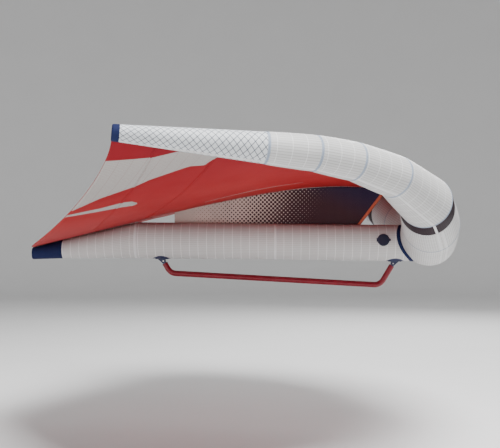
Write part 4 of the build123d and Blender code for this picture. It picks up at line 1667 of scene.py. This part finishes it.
    def ribbon(self, name: str, places: Array, half: float, side: Side, finish: str,
               lift: float = 0.0005) -> list[bpy.types.Object]:
        """A narrow tape laid along the sheet, thick enough to show on both faces.

        Args:
            name: The piece's name.
            places: Reach and share pairs along its middle.
            half: Half its width.
            side: The half of the wing.
            finish: Its finish.
            lift: How far it stands over each face.
        Returns:
            The tape and its rows of stitches.
        """
        middle = np.array([self.column(r, np.array([s]))[0] for r, s in places])
        normals = self.normals(places)
        ahead = unit(np.gradient(middle, axis=0))
        across = unit(np.cross(normals, ahead))
        offsets = np.array([-1.0, -0.85, 0.85, 1.0]) * half
        lifts = np.array([0.3, 1.0, 1.0, 0.3]) * lift
        grid = (middle[None] + across[None] * offsets[:, None, None]
                + normals[None] * lifts[:, None, None])
        weave = weave_map(offsets, distances(middle))
        thickness = self.thickness + 1.6 * lift
        tape = Cloth(name, mirrored(grid, side), weave, False, thickness)
        pieces = [dress(tape.build(flip=side is Side.LEFT), finish, "canopy_cloth")]
        for number, offset in enumerate((-0.6, 0.6)):
            path = middle + across * half * offset + normals * (lift + 0.0002)
            under = middle + across * half * offset - normals * (self.thickness + lift * 0.7 + 0.0002)
            for label, row, way in (("top", path, 1), ("under", under, -1)):
                thread = stitches(f"{name}_stitching_{label}_{number}", mirrored(row, side),
                                  mirrored(normals * way, side), 0.004, 0.0, 0.003, 0.0006)
                pieces.append(dress(thread, "thread_red", "canopy_cloth"))
        return pieces

    def normals(self, places: Array) -> Array:
        """The sheet's upward directions.

        Args:
            places: Reach and share pairs.
        Returns:
            One direction for each pair.
        """
        step = 0.004
        found = []
        for reach, share in places:
            low, high = max(share - step, 0.0), min(share + step, 1.0)
            back = self.column(reach, np.array([low, high]))
            start, end = max(reach - step, 0.0), min(reach + step, self.reach[-1])
            span = self.column(end, np.array([share]))[0] - self.column(start, np.array([share]))[0]
            found.append(np.cross(span, back[1] - back[0]))
        found = unit(np.array(found))
        return found * np.where(found[:, 2:3] < 0, -1.0, 1.0)

    def share_before_edge(self, reach: float, distance: float) -> float:
        """A place measured forward from the trailing edge.

        Args:
            reach: The distance out along the tube.
            distance: How far before the edge, along the cloth.
        Returns:
            The share of the profile's curve there.
        """
        shares = np.linspace(0.0, 1.0, 160)
        points = self.column(reach, shares)
        steps = np.linalg.norm(np.diff(points, axis=0), axis=1)
        left = np.concatenate([np.cumsum(steps[::-1])[::-1], [0.0]])
        return float(np.interp(-distance, -left, shares))

    def hem(self, side: Side) -> list[bpy.types.Object]:
        """The folded trailing-edge hem with its stitching.

        Args:
            side: The half of the wing.
        Returns:
            The pieces.
        """
        reaches = np.linspace(0.0, self.reach[-1], 150)
        across = np.array([1.0, 0.97, 0.5, 0.06, 0.0])
        lifts = np.array([0.0, 0.0005, 0.0006, 0.0005, 0.0])
        grid = []
        for reach in reaches:
            chord = self.share_before_edge(reach, self.hem_width)
            grid.append(self.column(reach, 1 - (1 - chord) * across))
        grid = np.stack(grid, 1)
        grid[..., 2] += lifts[:, None]
        weave = weave_map(across * self.hem_width, distances(grid[-1]))
        tape = Cloth(f"trailing_hem_{side.label}", mirrored(grid, side), weave, False, 0.0022)
        pieces = [dress(tape.build(flip=side is Side.LEFT), "hem", "canopy_cloth",
                        f"trailing_edge_hem_{side.label}")]
        for number, (row, shift) in enumerate(((1, -0.0035), (3, 0.0035))):
            path = grid[row] + np.array([shift, 0.0, 0.0006])
            normals = np.tile(UPWARD, (len(path), 1))
            thread = stitches(f"trailing_hem_stitching_{number}_{side.label}", mirrored(path, side),
                              normals, 0.0045, 0.0, 0.0034, 0.0007)
            pieces.append(dress(thread, "thread_red", "canopy_cloth"))
        return pieces

    def seams(self, side: Side) -> list[bpy.types.Object]:
        """The two panel seams that follow the trailing edge.

        Args:
            side: The half of the wing.
        Returns:
            The pieces.
        """
        pieces = []
        for number, (offset, fall) in enumerate(((0.330, 0.115), (0.600, 0.10))):
            places = []
            for reach in np.linspace(0.0, self.reach[-1], 150):
                front = self.hem_point(reach, self.lift)
                share = self.share_before_edge(reach, offset + fall * front[1])
                if share > 0.012:
                    places.append((reach, share))
            name = f"canopy_seam_{number + 1}_{side.label}"
            pieces += self.ribbon(name, np.array(places), self.seam_half, side, "canopy")
        return pieces

    def front_tape(self, side: Side) -> list[bpy.types.Object]:
        """The pale tape that sews the canopy's front edge to the tube.

        Args:
            side: The half of the wing.
        Returns:
            The pieces.
        """
        reaches = np.linspace(0.0, self.reach[-1], 190)
        steps = ((9.0, 0.0004), (8.6, 0.0010), (6.0, 0.0014), (3.0, 0.0034), (0.8, 0.0048))
        rows = [[self.hem_point(reach, grow, turn) for reach in reaches] for turn, grow in steps]
        for share, lift in ((0.004, 0.0009), (0.008, 0.0004)):
            rows.append([self.column(reach, np.array([share]))[0] + UPWARD * lift
                         for reach in reaches])
        grid = np.array(rows)
        weave = weave_map(np.linspace(0, 0.03, len(rows)), distances(grid[0]))
        tape = Cloth(f"luff_tape_{side.label}", mirrored(grid, side), weave, False, 0.0005)
        return [dress(tape.build(flip=side is Side.LEFT), "white_tape", "canopy_cloth")]


@dataclass
class Web:
    """The upright web between the strut and the canopy, with its edge tapes."""

    canopy: Canopy
    strut: Strut
    rear_x: float = -0.500
    front_bottom_x: float = 0.407
    front_top: tuple = (0.536, 0.440)
    gap: float = 0.0006
    tape: float = 0.016
    binding: float = 0.009
    thickness: float = 0.0010
    billow: float = 0.0018

    def ceiling(self) -> tuple[Array, Array]:
        """The underside of the canopy's middle profile.

        Returns:
            Its X values, rising, and its Z values.
        """
        line = self.canopy.column(0.0, np.linspace(0.0, 1.0, 300))
        order = np.argsort(line[:, 0])
        return line[order, 0], line[order, 2] - self.canopy.thickness - self.gap

    def floor(self, x: float | Array) -> float | Array:
        """The height of the strut's top at X."""
        return self.strut.axis_z(x) + self.strut.radius

    def front_line(self) -> tuple[Array, Array]:
        """The web's slanted front edge.

        Returns:
            Its ends' X and Z, on the strut and under the canopy.
        """
        xs, zs = self.ceiling()
        bottom = np.array([self.front_bottom_x, self.floor(self.front_bottom_x) + self.gap])
        way = np.array(self.front_top) - bottom
        for share in np.linspace(0.2, 1.6, 1400):
            point = bottom + way * share
            if point[1] > np.interp(point[0], xs, zs):
                break
        return bottom, point

    def grid(self, start: tuple, end: tuple, columns: int, rows: int) -> tuple[Array, Array]:
        """Points between the strut and the canopy.

        Args:
            start: The rear edge's X below and above.
            end: The front edge's X below and above.
            columns: The number of columns.
            rows: The number of rows.
        Returns:
            The points and their weave map.
        """
        xs, zs = self.ceiling()
        share = np.linspace(0.0, 1.0, columns)
        low_x = start[0] + (end[0] - start[0]) * share
        high_x = start[1] + (end[1] - start[1]) * share
        low_z, high_z = self.floor(low_x) + self.gap, np.interp(high_x, xs, zs)
        up = np.linspace(0.0, 1.0, rows)[:, None]
        x, z = low_x + (high_x - low_x) * up, low_z + (high_z - low_z) * up
        y = self.billow * np.sin(np.pi * up) * np.sin(np.pi * share)[None] * np.sin(9.0 * x)
        return np.stack([x, y, z], 2), np.stack([x, z], 2)

    def build(self) -> None:
        """Make the web and its tapes."""
        bottom, top = self.front_line()
        points, weave = self.grid((self.rear_x, self.rear_x), (bottom[0], top[0]), 150, 34)
        points[..., 1] += self.thickness / 2
        sheet = Cloth("canopy_web_sheet", points, weave, False, self.thickness).build(flip=True)
        dress(sheet, "web", "web_cloth", "canopy_web")
        extras = [self.edge_tape(bottom, top), self.rear_binding()]

    def edge_tape(self, bottom: Array, top: Array) -> bpy.types.Object:
        """The bright tape on the web's slanted front edge.

        Args:
            bottom: The edge's lower end.
            top: Its upper end.
        Returns:
            The tape.
        """
        points, weave = self.grid((bottom[0] - 0.001, top[0] - 0.001),
                                  (bottom[0] + self.tape, top[0] + self.tape - 0.002), 6, 26)
        points[..., 1] += 0.0013
        tape = Cloth("web_front_edging", points, weave, False, 0.0026).build(flip=True)
        return dress(tape, "web_tape", "web_tape", "web_front_tape")

    def rear_binding(self) -> bpy.types.Object:
        """A narrow binding on the web's rear edge.

        Returns:
            The binding.
        """
        start, end = self.rear_x, self.rear_x + self.binding
        points, weave = self.grid((start, start), (end, end), 4, 12)
        points[..., 1] += self.thickness
        piece = Cloth("web_rear_binding", points, weave, False, 2 * self.thickness).build(flip=True)
        return dress(piece, "web", "web_cloth")


# ---- hardware
@dataclass(frozen=True)
class Hardware:
    """The hard pieces, which keep their own shapes and take a finish."""

    nodes: tuple = (
        ("boom_tube", "boom"),
        ("front_foot_bracket", "navy_moulding"), ("rear_foot_bracket", "navy_moulding"),
        ("front_boom_plug", "navy_moulding"), ("rear_boom_plug", "navy_moulding"),
        ("front_lock_pin", "stainless"), ("rear_lock_pin", "stainless"),
        ("front_pull_ring", "ring_steel"), ("rear_pull_ring", "ring_steel"),
        ("valve_base", "valve"), ("valve_cap", "valve"), ("valve_poppet", "valve"),
        ("valve_seal", "seal"), ("valve_hinge_pin", "stainless"),
        ("air_port", "port"), ("air_port_nut", "port"))

    def build(self) -> None:
        """Dress every hard node."""
        for node, finish in self.nodes:
            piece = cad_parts[node]
            piece.data.materials.clear()
            piece.data.materials.append(MATERIALS[finish])
            LOG.info("%s: kept, %s", node, finish)


@dataclass
class FootPads:
    """The oval navy pads glued and sewn under the strut, where the boom's feet stand."""

    strut: Strut
    length: float = 0.090
    width: float = 0.096
    thickness: float = 0.0023
    columns: int = 96

    def build(self) -> None:
        """Make both pads."""
        for name in ("front", "rear"):
            low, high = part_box(f"{name}_foot_pad")
            self.pad(name, (low.x + high.x) / 2)

    def point(self, middle: float, share: float, turn: Array, lift: float) -> Array:
        """Points of one oval on the strut's underside.

        Args:
            middle: The pad's X.
            share: The oval's size as a share of the pad's.
            turn: Angles round the oval, in radians.
            lift: The height over the strut's skin.
        Returns:
            The points.
        """
        x = middle + share * self.length / 2 * np.cos(turn)
        y = share * self.width / 2 * np.sin(turn)
        radius = self.strut.radius + lift
        y = y * radius / (self.strut.radius + self.thickness)
        return np.stack([x, y, self.strut.axis_z(x) - np.sqrt(radius ** 2 - y ** 2)], 1)

    def pad(self, name: str, middle: float) -> None:
        """Make one pad and its two rows of stitches.

        Args:
            name: Which foot it belongs to.
            middle: Its X.
        """
        turn = np.arange(self.columns) * 2 * math.pi / self.columns
        outer = [(s, 1.0) for s in (0.0, 0.3, 0.6, 0.8, 0.90, 0.94)]
        edge = [(0.965, 0.95), (0.985, 0.80), (0.997, 0.55), (1.0, 0.32)]
        inner = [(s, 0.30) for s in (0.98, 0.6, 0.0)]
        outline = outer + edge + inner
        rows = [self.point(middle, s, turn, self.thickness * h) for s, h in outline]
        sizes = [s * self.length / 2 for s, _ in outline]
        weave = weave_map(sizes, np.append(turn, 2 * math.pi) * self.length / 2)
        pad = Cloth(f"{name}_sewn_pad", np.stack(rows), weave, True).build()
        dress(pad, "rubber", "pad_rubber", f"{name}_foot_pad")
        turn = np.append(turn, 2 * math.pi)
        for number, share in enumerate((0.93, 0.86)):
            path = self.point(middle, share, turn, self.thickness + 0.0002)
            axis = np.stack([path[:, 0], 0 * turn, self.strut.axis_z(path[:, 0])], 1)
            row = stitches(f"{name}_pad_stitching_{number}", path, unit(path - axis))
            dress(row, "thread_navy", "navy_webbing")


@dataclass(frozen=True)
class ValveSpring:
    """The coil spring under the valve's button, wound at one fixed length; the real spring shortens as
    the button is pressed.
    """

    place: tuple = (0.528, -0.0862047, 0.194985)
    outward: tuple = (0.0, -0.985197, 0.171429)
    seat: float = -0.0165
    length: float = 0.008
    travel: float = 0.004
    coil_radius: float = 0.003
    wire_radius: float = 0.0004
    clearance: float = 0.00005
    turns: int = 4

    def build(self) -> None:
        """Wind the spring and set it on the valve's guide."""
        bpy.ops.object.select_all(action="DESELECT")
        bpy.ops.mesh.primitive_circle_add(vertices=12, radius=self.wire_radius, fill_type="NOTHING",
                                          location=(self.coil_radius, 0.0, 0.0),
                                          rotation=(math.pi / 2, 0.0, 0.0))
        spring = bpy.context.object
        spring.name = "valve_coil_spring"
        bpy.ops.object.transform_apply(location=True, rotation=True, scale=True)
        rise = self.length - 2 * self.wire_radius - 2 * self.clearance
        apply_modifier(spring, "SCREW", axis="Z", angle=2 * math.pi, screw_offset=rise / self.turns,
                       iterations=self.turns, steps=28, render_steps=28)
        bpy.ops.object.mode_set(mode="EDIT")
        bpy.ops.mesh.select_all(action="SELECT")
        bpy.ops.mesh.fill_holes(sides=0)
        bpy.ops.mesh.select_all(action="SELECT")
        bpy.ops.mesh.normals_make_consistent(inside=False)
        bpy.ops.object.mode_set(mode="OBJECT")
        bpy.ops.object.shade_smooth()
        outward = Vector(self.outward)
        spring.rotation_euler = outward.to_track_quat("Z", "Y").to_euler()
        low = self.seat + self.wire_radius + self.clearance
        spring.location = Vector(self.place) + outward * low
        bpy.ops.object.transform_apply(location=True, rotation=True, scale=True)
        dress(spring, "stainless", "stainless", "valve_spring")
        anchor = Vector(self.place) + outward * self.seat
        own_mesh(spring)


# ---- stage
@dataclass(frozen=True)
class Stage:
    """A plain pale bowl, soft lights and the camera."""

    floor_z: float = -0.75
    floor_radius: float = 11.0
    wall_radius: float = 16.0
    wall_height: float = 9.0
    camera_place: tuple = (-0.0064, -5.292, 0.2484)
    lens: float = 76.75
    shift: tuple = (-0.048, 0.010)
    lights: tuple = (("key_light", (1.5, -2.5, 6.0), 4.0, 1300.0),
                     ("fill_light", (-3.5, -6.0, 1.0), 4.0, 200.0),
                     ("rim_light", (2.0, 6.0, 3.5), 3.0, 300.0))
    aim: tuple = (0.0, 0.0, 0.3)
    air_brightness: float = 0.30

    def floor(self) -> None:
        """The floor, curved up into a wall all round."""
        bpy.ops.object.select_all(action="DESELECT")
        bpy.ops.mesh.primitive_circle_add(vertices=96, radius=self.floor_radius, fill_type="NGON",
                                          location=(0.0, 0.0, self.floor_z))
        bowl = bpy.context.object
        bowl.name = "studio_floor"
        bpy.ops.object.transform_apply(location=True, rotation=True, scale=True)
        select_only(bowl)
        bpy.ops.object.mode_set(mode="EDIT")
        bpy.ops.mesh.select_all(action="DESELECT")
        bpy.ops.mesh.select_mode(type="EDGE")
        bpy.ops.mesh.select_non_manifold()
        steps, before = 10, (self.floor_radius, 0.0)
        for number in range(1, steps + 1):
            turn = math.pi / 2 * number / steps
            now = (self.floor_radius + (self.wall_radius - self.floor_radius) * math.sin(turn),
                   self.wall_height * (1 - math.cos(turn)))
            rise = (0.0, 0.0, now[1] - before[1])
            bpy.ops.mesh.extrude_edges_move(TRANSFORM_OT_translate={"value": rise})
            share = now[0] / before[0]
            bpy.ops.transform.resize(value=(share, share, 1.0))
            before = now
        bpy.ops.object.mode_set(mode="OBJECT")
        bpy.ops.object.shade_smooth()
        shader = Shader("studio_paper", Specular_IOR_Level=0.2)
        grain = shader.noise(shader.place(), 2.0, 2.0)
        shader.paint(shader.mix(grain, grey(0.74), grey(0.71)), 0.9)
        bowl.data.materials.append(shader.material)

    @staticmethod
    def light(name: str, place: tuple, target: tuple, size: float, power: float) -> None:
        """One square soft light.

        Args:
            name: Its name.
            place: Where it hangs.
            target: What it faces.
            size: Its side, in metres.
            power: Its power, in watts.
        """
        data = bpy.data.lights.new(name, "AREA")
        data.shape, data.size, data.energy = "SQUARE", size, power
        lamp = add_object(name, data)
        lamp.location = place
        way = Vector(target) - Vector(place)
        lamp.rotation_euler = way.to_track_quat("-Z", "Y").to_euler()

    def build(self) -> None:
        """Make the floor, the lights, the surroundings and the camera."""
        self.floor()
        for name, place, size, power in self.lights:
            self.light(name, place, self.aim, size, power)
        world = bpy.data.worlds.new("studio_air")
        bpy.context.scene.world = world
        world.use_nodes = True
        air = world.node_tree.nodes["Background"].inputs
        air["Color"].default_value = grey(0.8)
        air["Strength"].default_value = self.air_brightness
        data = bpy.data.cameras.new("camera")
        data.lens, data.sensor_width = self.lens, 36.0
        data.shift_x, data.shift_y = self.shift
        camera = add_object("camera", data)
        camera.location = self.camera_place
        camera.rotation_euler = (math.pi / 2, 0.0, 0.0)
        bpy.context.scene.camera = camera


def main() -> None:
    """Build the wing, sub-assembly by sub-assembly."""
    logging.basicConfig(level=logging.INFO, format="%(name)s: %(message)s")
    Stage().build()
    edge = LeadingEdge()
    edge.build()
    strut = Strut()
    strut.build(bpy.data.objects["leading_edge_middle_panel"])
    canopy = Canopy(edge)
    canopy.build()
    Web(canopy, strut).build()
    FootPads(strut).build()
    ValveSpring().build()
    Hardware().build()


if __name__ == "__main__":
    main()
